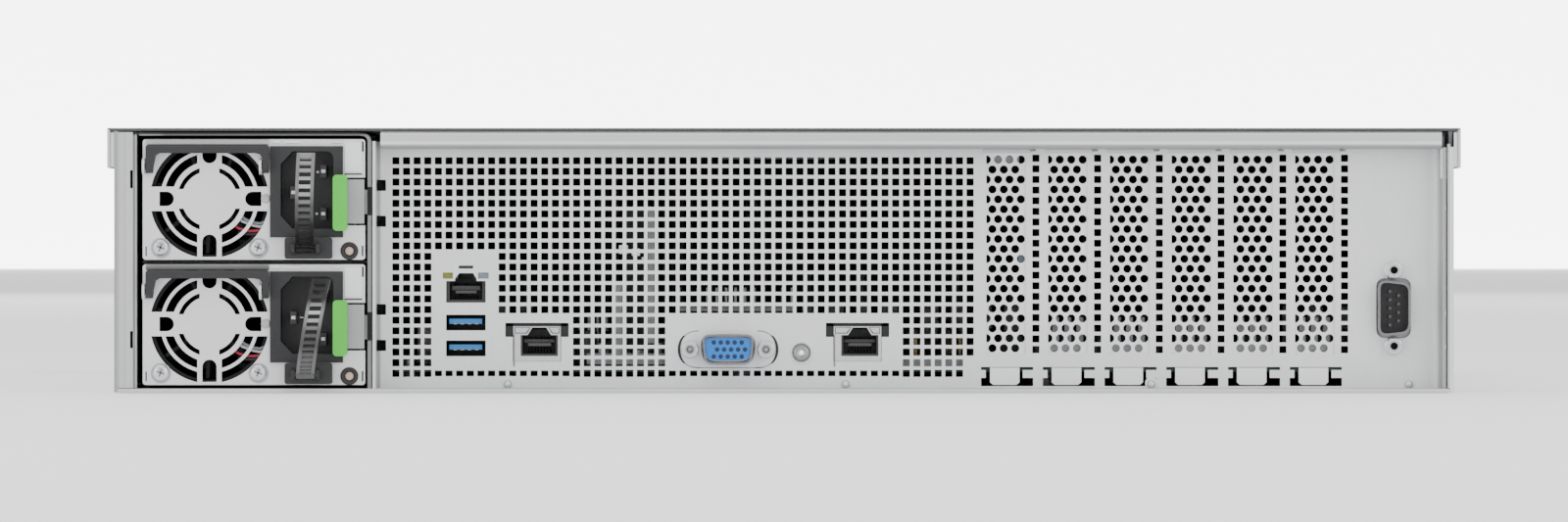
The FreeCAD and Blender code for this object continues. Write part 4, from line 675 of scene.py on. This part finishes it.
# ============================================================ rear: network jacks
d = Mesh("lan_details")
for cx in LAN:
    yf = YP + 0.2
    # slanted light windows in the shell's upper corners, thin dark joints round them
    for s, xa, xb in ((1, 3.3, 7.4), (-1, 4.9, 7.4)):
        xo, xi = cx + s * xb, cx + s * xa
        d.prism_y([(xo, 21.3), (xi - s * 1.3, 21.3), (xi, 19.2), (xo, 19.2)], yf, yf + 0.07, "jack_step")
        d.prism_y([(xo - s * 0.25, 21.1), (xi - s * 0.9, 21.1), (xi + s * 0.35, 19.5), (xo - s * 0.25, 19.5)], yf + 0.07, yf + 0.18, "tin")
    # shell edges turned over: darker seam on the left and along the foot
    d.box(cx + 7.35, cx + 7.8, yf, yf + 0.1, 8.4, 18.9, "smoke")
    d.box(cx - 7.8, cx + 7.8, yf - 1.2, yf - 1.05, 8.3, 9.1, "smoke")
    # moulded interior: stepped floor, side cheeks, contact comb in painted shade
    c0 = cx - 0.75
    d.box(c0 - 6.1, c0 + 6.1, yf - 16, yf - 0.25, 11.82, 12.5, "jack_grey")
    d.box(c0 - 6.1, c0 - 5.5, yf - 16, yf - 0.25, 12.5, 18.6, "jack_grey")
    d.box(c0 + 5.5, c0 + 6.1, yf - 16, yf - 0.25, 12.5, 18.6, "jack_grey")
    d.box(c0 - 5.4, c0 + 5.4, yf - 15.5, yf - 13.0, 12.5, 20.5, "jack_grey")
    d.box(c0 - 3.9, c0 + 3.9, yf - 9.0, yf - 2.2, 15.0, 16.1, "jack_step", 0.2)
    d.box(c0 - 5.2, c0 + 5.2, yf - 9.0, yf - 3.2, 16.1, 17.4, "jack_grey", 0.2)
    for q in range(8):
        x = c0 - 3.57 + 1.02 * q
        d.tube([(x, yf - 12.5, 17.6), (x, yf - 9.4, 17.9), (x, yf - 6.6, 14.8), (x, yf - 9.6, 13.0)], 0.16, "pin_painted_shade", 6)
    # grounding leaves beside the shell and over it, black as painted shade where the panel's wider upper cut shows the
    # gap
    d.box(cx + 7.9, cx + 10.6, YP - 1.9, YP - 1.15, 17.9, 22.8, "shade")
    d.box(cx - 10.6, cx - 7.9, YP - 1.9, YP - 1.15, 17.9, 22.8, "shade")
    d.box(cx - 10.6, cx + 10.6, YP - 1.9, YP - 1.15, 21.65, 22.9, "shade")
# the upper jack: two light guides, stepped interior, contact comb in painted shade
d.box(109.05, 112.25, YP - 1.04, YP - 0.35, 37.35, 39.25, "lens_olive", 0.15)
d.box(97.25, 100.65, YP - 1.04, YP - 0.35, 37.3, 39.25, "lens_greyblue", 0.15)
d.box(98.45, 110.95, YP - 16, YP - 1.3, 29.52, 30.3, "jack_grey")
d.box(98.5, 99.3, YP - 16, YP - 1.3, 30.3, 36.4, "jack_grey")
d.box(110.1, 110.9, YP - 16, YP - 1.3, 30.3, 36.4, "jack_grey")
d.box(98.6, 110.8, YP - 17.5, YP - 15.0, 30.3, 37.2, "jack_grey")
d.box(101.2, 108.2, YP - 9.0, YP - 2.6, 32.4, 33.4, "jack_step", 0.2)
d.box(99.9, 109.5, YP - 9.0, YP - 3.4, 33.4, 35.0, "jack_grey", 0.2)
d.box(103.3, 106.2, YP - 3.0, YP - 1.1, 39.6, 40.3, "jack_step", 0.1)
for q in range(8):
    x = 104.7 - 3.57 + 1.02 * q
    d.tube([(x, YP - 13, 35.6), (x, YP - 10.0, 35.3), (x, YP - 7.2, 32.2), (x, YP - 10.0, 30.9)], 0.16, "pin_painted_shade", 6)
d.build("chassis")

# USB: contacts under each tongue
d = Mesh("usb_details")
for z in (22.4, 13.9):
    for q in range(4):
        x = 104.8 + (q - 1.5) * 2.35
        d.box(x - 0.5, x + 0.5, 318, 328.2, z - 0.16, z, "gold")
    # dark plate over the floor of each shell: painted shade over the light earthing springs
    d.box(98.15, 111.25, 312.2, 329.6, z - 2.25, z - 2.05, "smoke")
d.build("chassis")

# video port: raised plate behind the shell, rolled rim, screws with throats lined in painted shade
d = Mesh("vga_details")
pl = [(VX + 10.4, VZ - 4.2), (VX + 10.4, VZ + 5.0), (VX + 9.4, VZ + 6.5), (VX - 9.4, VZ + 6.5), (VX - 10.4, VZ + 5.0), (VX - 10.4, VZ - 4.2), (VX - 9.0, VZ - 6.0), (VX + 9.0, VZ - 6.0)]
d.prism_y(pl, YP - 0.08, YP + 0.35, "panel")
# pin holes of the insert: navy discs of painted shade
for row, (dz, off) in enumerate(((2.3, 0.1), (0.0, -1.0), (-2.3, 0.1))):
    for q in range(5):
        d.lathe_y(VX + (q - 2) * 2.29 + off, VZ + dz, [(0.76, YP + 4.905), (0.74, YP + 4.94), (0.0001, YP + 4.94)], "pin_hole", 12, caps=False)
rim_o, rim_i = [], []
for k in range(0, 360, 6):
    a = math.radians(k)
    ca, sa = math.cos(a), math.sin(a)
    q = 0.55
    ex = (abs(ca) ** q) * (1 if ca >= 0 else -1)
    ez = (abs(sa) ** q) * (1 if sa >= 0 else -1)
    w = 8.05 + 0.45 * ez
    rim_o.append((VX + (w + 0.78) * ex, VZ + 5.05 * ez))
    rim_i.append((VX + (w - 0.1) * ex, VZ + 4.32 * ez))
lip_o, lip_i = [], []
for x, z in rim_i:
    lip_o.append((x, YP + 4.95, z))
    lip_i.append((VX + (x - VX) * 0.965, YP + 5.0, VZ + 0.15 + (z - VZ) * 0.87))
d.ring_stack([lip_o, [(x, YP + 5.15, z) for x, y, z in lip_o], [(x, YP + 5.15, z) for x, y, z in lip_i], lip_i], "smoke", caps=False)
rings = [[(x, YP + 0.35, z) for x, z in rim_o], [(x, YP + 1.4, z) for x, z in rim_o], [(VX + (x - VX) * 0.965, YP + 1.9, VZ + (z - VZ) * 0.965) for x, z in rim_o]]
d.ring_stack(rings, "smoke", caps=False)
for s in (-1, 1):
    cx = VX + s * 12.495
    # painted shade in the gap between the port's flange and the panel at the outer side of each screw
    arc_o = [(cx + s * 4.1 * math.cos(math.radians(t)), VZ + 5.4 * math.sin(math.radians(t))) for t in range(-62, 63, 8)]
    arc_i = [(cx + s * 3.2 * math.cos(math.radians(t)), VZ + 5.1 * math.sin(math.radians(t))) for t in range(62, -63, -8)]
    d.prism_y(arc_o + arc_i, YP - 0.07, YP + 0.02, "shade")
    d.lathe_y(cx, VZ, [(2.95, YP - 0.08), (2.95, YP + 0.35), (2.7, YP + 0.5)], "screw", 28)
    d.lathe_y(cx, VZ, [(1.25, YP + 0.5), (1.2, YP + 4.4), (1.5, YP + 4.605), (1.62, YP + 4.64)], "shade", 18, caps=False)
d.build("chassis")

# serial port: bright washers, dark throats
d = Mesh("serial_details")
for s in (-1, 1):
    cz = CZ_ + s * 12.495
    d.lathe_y(CX_, cz, [(3.1, YP - 0.05), (3.1, YP + 0.2), (2.9, YP + 0.35)], "screw", 28)
    # throat lined in painted shade
    d.lathe_y(CX_, cz, [(1.25, YP + 0.5), (1.2, YP + 4.0), (1.5, YP + 4.205), (1.6, YP + 4.24)], "shade", 18, caps=False)
d.build("chassis")

# identification button: ring round it, light guide in the middle that glows white as a painted highlight (rides on the
# button)
d = Mesh("id_button_ring")
d.lathe_y(-5.7, IDZ, [(4.1, YP - 0.02), (4.0, YP + 0.16), (3.5, YP + 0.24), (3.05, YP + 0.1), (3.02, YP - 0.5)], "panel", 32, caps=False)
d.lathe_y(-6.3, IDZ + 0.5, [(4.4, YP - 0.03), (4.3, YP + 0.05), (4.1, YP - 0.03)], "panel", 32, caps=False)
d.build("chassis")
d = Mesh("id_button_lens")
d.lathe_y(-5.7, IDZ, [(2.52, YP + 0.86), (2.3, YP + 1.2), (1.5, YP + 1.05), (1.0, YP + 0.9)], "button", 28, caps=False)
d.lathe_y(-5.7, IDZ, [(0.82, YP + 0.88), (0.8, YP + 1.2), (0.45, YP + 1.4), (0.001, YP + 1.45)], "lens_white", 24)
d.build("id_button")

# ============================================================ rear: panel edge, tab, dimples, rivets
d = Mesh("panel_edge_details")
# folded tab at the upper outer corner, with its own small step
d.box(-215.4, -218.4, 341.6, 342.6, 70.2, 80.2, "panel", 0.2)
d.box(-217.6, -218.45, 342.5, 344.4, 70.2, 80.2, "walls", 0.15)
for z in (60.6, 25.8, 14.7):
    d.lathe_x(342.8, z, [(1.5, -217.2), (1.35, -216.85), (0.8, -216.5), (0.001, -216.4)], "screw", 18)
# seats of the rivets along the foot
for x in (90.9, -20.3, -120.9, -205.7):
    d.lathe_y(x, 2.9, [(2.1, YP), (2.0, YP + 0.08), (1.6, YP + 0.1)], "panel", 24)
# folds over the slot row: the covers' bent heads and the notches between them, their dark triangles painted shadow
for k in range(6):
    c = -73.1 - 20.32 * k
    d.box(c + 7.6, c - 8.2, YP - 0.4, YP + 0.35, 78.5, 79.95, "walls", 0.15)
    yh = 343.0
    d.box(c - 7.8, c - 9.8, yh - 1.2, yh, 80.0, 81.6, "panel", 0.35)
    d.prism_y([(c - 6.8, 80.9), (c - 7.4, 80.9), (c - 8.2, 79.3), (c - 7.7, 79.2)], yh - 0.6, yh - 0.4, "smoke")
    d.prism_y([(c - 7.9, 79.55), (c - 9.7, 79.75), (c - 9.6, 79.15), (c - 8.0, 79.05)], yh - 0.6, yh - 0.4, "smoke")
# turned edge of the walls, lying in the gap behind the cover's side flanges
for sx in (-1, 1):
    d.box(sx * 219.72, sx * 220.9, 343.4, 344.4, 74.0, 85.4, "panel", 0.1)
# black patches on the supply cage's rear edge, level with the release latches: painted shade for the latch windows
for z0 in PZ.values():
    d.box(134.95, 136.7, YR - 0.62, YR - 0.3, z0 + 14.6, z0 + 23.9, "fan", 0.1)
# dark insulating sheet on the inside of the wall beside the supplies
d.box(218.2, 218.45, 150.0, 336.5, 3.5, 82.5, "housing", 0.05)
d.build("chassis")

# ============================================================ what shows faintly through the perforations
d = Mesh("interior_near_panel")
# finned regulator heat sink lying behind the video port
d.box(-3.0, 35.0, 300.0, 324.5, 26.5, 27.9, "inside")
for k in range(13):
    d.box(-3.0 + 3.1 * k, -2.2 + 3.1 * k, 300.0, 325.6, 27.9, 34.3, "inside")
for x in (0.0, 32.0):
    d.box(x - 1.6, x + 1.6, 302.0, 322.0, 8.25, 26.5, "socket")
# module standing upright, its frame's two edges towards the panel
d.box(42.9, 44.8, 316.0, 328.0, 16.0, 61.0, "inside")
d.box(53.4, 55.3, 316.0, 328.0, 12.0, 36.0, "inside")
# black piece between the module's edges: painted shade
d.box(44.8, 53.4, 316.0, 317.2, 13.5, 60.0, "shade")
d.box(51.4, 54.4, 317.2, 330.7, 45.4, 48.4, "field", 0.3)
d.box(47.4, 50.2, 317.2, 330.6, 44.8, 47.2, "field", 0.3)
d.box(45.3, 46.9, 317.2, 330.4, 42.4, 44.4, "field", 0.3)
# board edge connectors and a row of capacitors
d.box(39.0, 65.0, 318.0, 327.6, 9.0, 12.6, "inside")
d.box(-38.0, -61.5, 319.0, 327.4, 8.4, 11.4, "inside")
d.box(70.5, 92.0, 300.0, 305.0, 8.3, 18.0, "socket")
for k in range(7):
    d.lathe_z(60.5 - 6.4 * k, 296.0, [(2.4, 8.3), (2.5, 8.8), (2.5, 15.6), (2.3, 16.0), (0.01, 16.05)], "screw", 16)
# earthing strip and socket ends low behind the slot covers
for k in range(6):
    c = -73.1 - 20.32 * k
    if k:
        d.box(c - 8.8, c + 6.8, 326.4, 328.6, 9.6, 15.6, "inside")
        for q in range(3):
            d.box(c - 5.2 + 4.0 * q, c - 3.0 + 4.0 * q, 326.3, 327.8, 16.0, 24.6, "inside_lilac")
d.box(-76.9, -79.4, 322.0, 328.9, 42.4, 45.4, "wire_white", 0.4)
d.box(-69.0, -77.5, 324.0, 328.6, 75.2, 77.6, "inside")
d.build("chassis")

# ============================================================ small components standing on the system board
d = Mesh("board_components")
BZ = 8.2                                       # top of the board
rb = random.Random(23)


def chip(x, y, w, l, h=1.5, key="chip"):
    d.box(x - w / 2, x + w / 2, y - l / 2, y + l / 2, BZ, BZ + h, key, 0.12)
    n_ = max(3, int(l / 1.9))
    for k_ in range(n_):
        yy = y - l / 2 + l * (k_ + 0.5) / n_
        for sx_ in (-1, 1):
            d.box(x + sx_ * w / 2, x + sx_ * (w / 2 + 0.9), yy - 0.3, yy + 0.3, BZ, BZ + 0.35, "tin")


def can(x, y, r, h):
    d.lathe_z(x, y, [(r + 0.25, BZ), (r + 0.25, BZ + 0.9), (r, BZ + 1.1), (r, BZ + h - 0.4), (r - 0.4, BZ + h), (0.01, BZ + h)], "cast", 20)
    d.box(x - r * 0.9, x - r * 0.35, y - r * 0.55, y + r * 0.55, BZ + h - 0.05, BZ + h + 0.06, "socket")


def choke(x, y, w=9.6):
    d.box(x - w / 2, x + w / 2, y - w / 2, y + w / 2, BZ, BZ + 6.4, "dark_metal_and_painted_shade", 0.6)
    d.box(x - w / 2 - 0.5, x - w / 2, y - 2.4, y + 2.4, BZ, BZ + 4.2, "tin")
    d.box(x + w / 2, x + w / 2 + 0.5, y - 2.4, y + 2.4, BZ, BZ + 4.2, "tin")


# regulators behind each processor: chokes, drivers and capacitors
for cx0 in (42.5, -130.5):
    for k in range(6):
        x = cx0 - 31.0 + 12.4 * k
        choke(x, 43.0)
        chip(x, 53.6, 5.0, 6.0, 0.9)
        can(x, 62.5, 3.1, 8.6)
# chipset heat sink: base plate and fins in rows, two sprung pins
d.box(60.0, 96.0, 112.0, 148.0, BZ + 2.2, BZ + 4.6, "alu", 0.2)
d.box(66.0, 90.0, 118.0, 142.0, BZ, BZ + 2.2, "chip")
for k in range(12):
    x = 61.0 + 3.0 * k
    for y0, y1 in ((112.4, 122.8), (124.6, 135.4), (137.2, 147.6)):
        d.box(x, x + 1.0, y0, y1, BZ + 4.6, BZ + 17.0, "alu", 0.1)
for x, y in ((56.6, 145.0), (99.4, 115.0)):
    d.box(x - 3.4, x + 3.4, y - 2.6, y + 2.6, BZ + 2.2, BZ + 3.8, "alu", 0.3)
    d.lathe_z(x, y, [(1.3, BZ), (1.3, BZ + 5.4), (2.3, BZ + 5.6), (2.3, BZ + 7.0), (0.01, BZ + 7.4)], "black", 18)
    for k in range(5):
        d.lathe_z(x, y, [(1.6, BZ + 3.9 + 0.32 * k), (1.95, BZ + 4.05 + 0.32 * k), (1.6, BZ + 4.2 + 0.32 * k)], "tin", 18, caps=False)
# management controller with its memory, network controller, clock chips
chip(64.0, 236.0, 19.0, 19.0, 1.8)
chip(42.0, 236.0, 9.0, 13.0, 1.1)
chip(22.0, 262.0, 14.0, 14.0, 1.4)
chip(-8.0, 262.0, 10.0, 10.0, 1.2)
chip(-36.0, 262.0, 7.0, 5.0, 1.0)
chip(84.0, 268.0, 6.0, 5.0, 1.6)
chip(6.0, 206.0, 8.0, 12.0, 1.2)
for x, y in ((-28.0, 228.0), (40.0, 206.0), (98.0, 232.0), (28.0, 286.0)):
    d.box(x - 2.6, x + 2.6, y - 1.6, y + 1.6, BZ, BZ + 1.5, "tin", 0.5)
# coin cell lying in its holder
d.lathe_z(-34.0, 150.0, [(12.2, BZ), (12.2, BZ + 3.4), (11.4, BZ + 3.8), (10.5, BZ + 3.2), (10.4, BZ + 2.4)], "black", 44, caps=False)
d.lathe_z(-34.0, 150.0, [(10.2, BZ + 0.4), (10.2, BZ + 3.3), (9.8, BZ + 3.7), (0.01, BZ + 3.7)], "tin", 44)
d.box(-36.2, -31.8, 158.4, 163.4, BZ, BZ + 5.0, "tin", 0.3)
# solid-state module lying between its connector and its screw post
d.box(5.0, 27.0, 176.0, 180.6, BZ, BZ + 4.2, "black", 0.3)
d.box(6.0, 26.0, 99.0, 177.0, BZ + 2.6, BZ + 3.4, "dimm", 0.1)
d.lathe_z(16.0, 99.0, [(2.6, BZ), (2.6, BZ + 2.5), (1.6, BZ + 2.6), (1.6, BZ + 3.5), (3.0, BZ + 3.5), (2.8, BZ + 4.6), (0.01, BZ + 4.9)], "screw", 20)
for y, l in ((111.0, 13.0), (127.0, 13.0), (144.0, 12.0), (162.0, 14.0)):
    d.box(8.4, 23.6, y - l / 2, y + l / 2, BZ + 3.4, BZ + 4.5, "chip", 0.12)
# storage sockets in two rows, each with its tongue, beside the supplies' side
for r_ in range(2):
    for k in range(4):
        x, y = 108.0 + 12.6 * r_, 105.0 + 17.5 * k
        for x0, x1, y0, y1 in ((-4.4, 4.4, -7.6, -6.4), (-4.4, 4.4, 6.4, 7.6), (-4.4, -3.2, -6.4, 6.4), (3.2, 4.4, -6.4, 6.4)):
            d.box(x + x0, x + x1, y + y0, y + y1, BZ, BZ + 8.6, "socket", 0.1)
        d.box(x - 0.6, x + 0.6, y - 5.0, y + 5.0, BZ, BZ + 7.4, "black")
# board power sockets with their square wells
for y0 in (197.0, 221.0):
    for i in range(2):
        for k in range(4):
            x, y = 117.2 + 4.4 * i, y0 + 4.4 * k
            for x0, x1, q0, q1 in ((-2.2, 2.2, -2.2, -1.7), (-2.2, 2.2, 1.7, 2.2), (-2.2, -1.7, -1.7, 1.7), (1.7, 2.2, -1.7, 1.7)):
                d.box(x + x0, x + x1, y + q0, y + q1, BZ, BZ + 12.4, "white_pl")
            d.box(x - 0.45, x + 0.45, y - 0.45, y + 0.45, BZ, BZ + 10.4, "gold")
# pin headers
for x0, y0, n_ in ((-46.0, 190.0, 9), (-46.0, 210.0, 7), (92.0, 176.0, 6), (-60.0, 104.0, 10)):
    d.box(x0 - 2.6, x0 + 2.6, y0 - 1.3, y0 + 2.54 * n_ - 1.3, BZ, BZ + 2.5, "black", 0.15)
    for k in range(n_):
        for sx in (-1.27, 1.27):
            d.box(x0 + sx - 0.3, x0 + sx + 0.3, y0 + 2.54 * k - 0.3, y0 + 2.54 * k + 0.3, BZ, BZ + 8.4, "gold")
# tall capacitors along the inner side and between the groups
for x, y in ((100.0, 80.0), (90.0, 80.0), (80.0, 80.0), (-46.0, 78.0), (-58.0, 78.0), (-70.0, 78.0), (48.0, 178.0), (58.0, 178.0), (68.0, 178.0), (112.0, 250.0), (112.0, 262.0), (-196.0, 84.0), (-184.0, 84.0)):
    can(x, y, 3.9, 11.0)
# capacitors and chips ahead of the card sockets
for k in range(6):
    c = -76.1 - 20.32 * k
    can(c + 9.6, 176.0, 2.6, 6.6)
    chip(c, 164.0, 5.0, 9.0, 1.1)
chip(-112.0, 118.0, 17.0, 17.0, 1.9)
chip(-152.0, 118.0, 17.0, 17.0, 1.9)
# scattered small parts, kept off everything placed above
used = [(56, 100, 108, 152), (50, 78, 222, 250), (34, 50, 226, 246), (12, 32, 252, 272), (-16, 0, 254, 270), (-50, -18, 136, 166), (0, 32, 92, 184),
        (100, 128, 88, 168), (112, 126, 192, 238), (-52, -40, 186, 230), (86, 96, 172, 194), (-66, -54, 100, 132), (72, 108, 72, 88), (-78, -38, 70, 86),
        (42, 76, 170, 186), (106, 120, 242, 270), (-204, -176, 76, 92), (-124, -98, 106, 130), (-164, -140, 106, 130), (-186, -66, 156, 184), (0, 14, 198, 214)] + [(fx - 3, fx + 3, fy - 3, fy + 3) for fx in (-209.0, -86.3, 14.0, 124.5) for fy in (92.0, 190.0, 300.0)]
placed = 0
for _ in range(900):
    x, y = rb.uniform(-208, 124), rb.uniform(72, 292)
    w, l, h = rb.choice(((1.6, 0.9, 0.6), (0.9, 1.6, 0.6), (3.2, 1.7, 1.0), (1.7, 3.2, 1.0), (4.2, 3.6, 1.3), (5.6, 5.6, 1.1)))
    if x < -66 and y > 182:
        continue
    if any(x0 - 3 < x < x1 + 3 and y0 - 3 < y < y1 + 3 for x0, x1, y0, y1 in used):
        continue
    used.append((x - w, x + w, y - l, y + l))
    key = "chip" if w > 3.9 else rb.choice(("tin", "sleeve", "cast", "chip"))
    d.box(x - w / 2, x + w / 2, y - l / 2, y + l / 2, BZ, BZ + h, key, 0.08)
    placed += 1
    if placed > 240:
        break
d.build("chassis")

# dark sheets behind the blank carriers, painted shade that stops light showing through the bays
d = Mesh("bay_shade_sheets")
for x in (-53.6, 53.6, 160.5):
    for z in (2.6, 29.9, 57.2):
        d.box(x - 51.4, x + 51.4, -344.9, -343.6, z + 1.5, z + 24.9, "shade")
d.build("chassis")

# ============================================================ power supplies
def ladder_strap(n, z0):
    """cord retaining strip: two rails joined by rungs, curved like its solid"""
    sy, sz = PY + 5.9, z0 + 3.6
    rel = [(0.9, 0.4), (4.6, 1.9), (8.6, 4.8), (12.4, 9.2), (15.0, 14.6), (16.2, 20.6), (15.4, 26.4), (12.6, 31.0)]
    # match the solid's reach
    th = 0.55
    tops = []
    for i, (a, b) in enumerate(rel):
        a0, b0 = rel[max(0, i - 1)]
        a1, b1 = rel[min(len(rel) - 1, i + 1)]
        L = math.hypot(a1 - a0, b1 - b0)
        tops += [a + (b1 - b0) / L * th, a - (b1 - b0) / L * th]
    k = (370.0 - sy) / max(tops)
    # smooth centre line through the route
    def cr(p0, p1, p2, p3, t):
        return tuple(0.5 * ((2 * p1[i]) + (-p0[i] + p2[i]) * t + (2 * p0[i] - 5 * p1[i] + 4 * p2[i] - p3[i]) * t * t + (-p0[i] + 3 * p1[i] - 3 * p2[i] + p3[i]) * t ** 3) for i in (0, 1))
    P = [rel[0]] + rel + [rel[-1]]
    line = []
    for i in range(1, len(P) - 2):
        for s in range(8):
            line.append(cr(P[i - 1], P[i], P[i + 1], P[i + 2], s / 8.0))
    line.append(rel[-1])
    # resample by length
    S = [0.0]
    for a, b in zip(line, line[1:]):
        S.append(S[-1] + math.hypot((b[0] - a[0]) * k, b[1] - a[1]))

    def at(s):
        s = max(0, min(S[-1], s))
        for i in range(len(S) - 1):
            if S[i + 1] >= s:
                t = (s - S[i]) / max(1e-9, S[i + 1] - S[i])
                a, b = line[i], line[i + 1]
                q = (a[0] + (b[0] - a[0]) * t, a[1] + (b[1] - a[1]) * t)
                dx, dz = (b[0] - a[0]) * k, b[1] - a[1]
                L = math.hypot(dx, dz)
                return q[0] * k, q[1], dx / L, dz / L
    # the strap's finish carries painted light and shade bands along Z
    key = "strap_%d" % n
    d = Mesh("psu_%d_strap_ladder" % n)
    lean = 0.19 if n == 2 else 0.03
    xc = PX - 53.6

    def slab(s0, s1, x0, x1, t0, t1, steps, mk=key):
        rings = []
        for i in range(steps + 1):
            y, z, ty, tz = at(s0 + (s1 - s0) * i / steps)
            nx = (-tz, ty)
            sh = -lean * z
            loop = []
            for x, t in ((x0, t0), (x1, t0), (x1, t1), (x0, t1)):
                loop.append((xc + x + sh, sy + y + nx[0] * t, sz + z + nx[1] * t))
            rings.append(loop)
        d.ring_stack(rings, mk, smooth=False)
    L = S[-1]
    slab(0.0, L, -3.0, -1.9, -0.55, 0.5, 40, "strap_rail_%d" % n)
    slab(0.0, L, 1.9, 3.0, -0.55, 0.5, 40, "strap_rail_%d" % n)
    s = 0.0
    while s < L - 1.2:
        slab(s, min(L, s + 1.15), -1.95, 1.95, -0.5, 0.4, 2)
        s += 2.6
    slab(L - 2.0, L, -2.8, 2.8, -0.5, 0.5, 3)
    d.lathe_x(sy, sz, [(1.45, xc - 3.0), (1.5, xc - 2.8), (1.5, xc + 2.8), (1.45, xc + 3.0)], key, 20)
    d.lathe_x(sy, sz, [(0.78, xc - 4.6), (0.8, xc - 4.5), (0.8, xc + 4.5), (0.78, xc + 4.6)], key, 14)
    o = d.build("psu_%d_cord_strap" % n)
    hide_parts("psu_%d_strap" % n)


def pan_head(d, x, z, y, r, h, key="screw"):
    """pan head with a cross recess, drawn as a dark cross of painted shade"""
    d.lathe_y(x, z, [(r, y), (r, y + h * 0.45), (r * 0.86, y + h * 0.8), (r * 0.5, y + h), (0.001, y + h * 1.02)], key, 28)
    for a in (20, 110):
        ca, sa = math.cos(math.radians(a)), math.sin(math.radians(a))
        w, L = 0.26, r * 0.48
        pts = [(x + ca * L - sa * w, z + sa * L + ca * w), (x - ca * L - sa * w, z - sa * L + ca * w), (x - ca * L + sa * w, z - sa * L - ca * w), (x + ca * L + sa * w, z + sa * L - ca * w)]
        d.prism_y(pts, y + h * 0.9, y + h * 1.05, "smoke")


for n, z0 in PZ.items():
    u = lambda a: PX - a
    v = lambda b, z0=z0: z0 + b
    ladder_strap(n, z0)
    d = Mesh("psu_%d_face_details" % n)
    # fan screws in the lower corners of the grille
    for a in (5.9, 37.9):
        d.lathe_y(u(a) - 0.1, v(3.9), [(3.35, PY), (3.3, PY + 0.1), (3.0, PY + 0.14)], "latch", 28)
        pan_head(d, u(a), v(4.0), PY + 0.14, 2.75, 1.15)
    # embossed stop beside the right-hand opening of the grille
    d.lathe_y(u(40.3), v(20.1), [(1.6, PY), (1.5, PY + 0.25), (1.2, PY + 0.3)], "latch", 18)
    # pressed field at the upper corner beside the inlet, and the seam under it
    d.box(u(66.2), u(71.9), PY - 0.02, PY + 0.22, v(28.8), v(38.6), "field", 0.15)
    d.box(u(66.2), u(72.0), PY - 0.02, PY + 0.1, v(27.9), v(28.35), "liner")
    # folded flange along the top edge of the face, its finish painted light: lit on the upper supply, in painted shade
    # on the lower
    d.box(u(1.0), u(41.5), PY - 0.05, PY + 0.5, v(37.75), v(39.5), "bar_%d" % n, 0.45)
    d.box(u(42.6), u(45.0), PY - 0.05, PY + 0.45, v(38.2), v(39.2), "field", 0.3)
    d.box(u(46.4), u(52.0), PY - 0.05, PY + 0.45, v(38.2), v(39.2), "field", 0.3)
    d.box(u(62.0), u(65.5), PY - 0.05, PY + 0.45, v(38.2), v(39.2), "psu", 0.3)
    # dark slits where the case halves meet
    d.box(u(71.75), u(72.5), PY - 0.02, PY + 0.06, v(35.5), v(38.8), "liner")
    d.box(u(71.85), u(72.4), PY - 0.02, PY + 0.06, v(1.2), v(4.6), "liner")
    d.box(u(0.9), u(1.35), PY - 0.02, PY + 0.06, v(1.2), v(4.4), "liner")
    # status light: dark bezel and lens
    d.lathe_y(u(67.8), v(2.9), [(2.95, PY - 0.02), (2.95, PY + 0.3), (2.7, PY + 0.5), (1.7, PY + 0.45), (1.4, PY - 0.2)], "handle", 32, caps=False)
    d.lathe_y(u(67.8), v(2.9), [(1.42, PY - 0.3), (1.35, PY + 0.3), (0.8, PY + 0.6), (0.001, PY + 0.7)], "lens_tan", 24)
    # small painted highlights in the inlet: bright marks beside the pins and on the earth pin
    for du, dv, w, h in ((56.9, 28.9, 0.35, 0.35), (56.6, 15.2, 0.4, 0.35), (51.6, 22.1, 0.6, 0.2)):
        d.box(u(du - w), u(du + w), PY - 12.38, PY - 12.1, v(dv - h), v(dv + h), "tin")
    # bright tips of the three pins, painted highlights over the pins' painted shade
    for du, dv, y in ((59.2, 29.1, 1.5), (59.2, 15.1, 1.5), (49.4, 22.1, 0.2)):
        d.box(u(du - 0.65), u(du + 0.65), PY - y - 0.04, PY - y + 0.12, v(dv - 0.55), v(dv + 0.55), "tin", 0.1)
    d.build("psu_%d" % n)
    # fan leads behind the grille
    d = Mesh("psu_%d_fan_leads" % n)
    yl = PY - 1.65
    for key, pts in (("wire_white", ((41.0, 12.9), (38.4, 11.9), (36.0, 12.3), (33.4, 13.4), (31.6, 15.2))),
                     ("latch", ((41.2, 11.7), (38.4, 10.8), (36.0, 11.3), (32.6, 12.6), (30.6, 14.4))),
                     ("red", ((40.4, 10.0), (37.8, 9.5), (34.6, 9.5), (31.6, 10.2), (29.4, 11.6))),
                     ("shade", ((40.2, 8.9), (37.6, 8.4), (34.4, 8.4), (31.2, 9.0)))):
        d.tube([(u(a), yl, v(b)) for a, b in pts], 0.5, key, 8)
    d.build("psu_%d" % n)
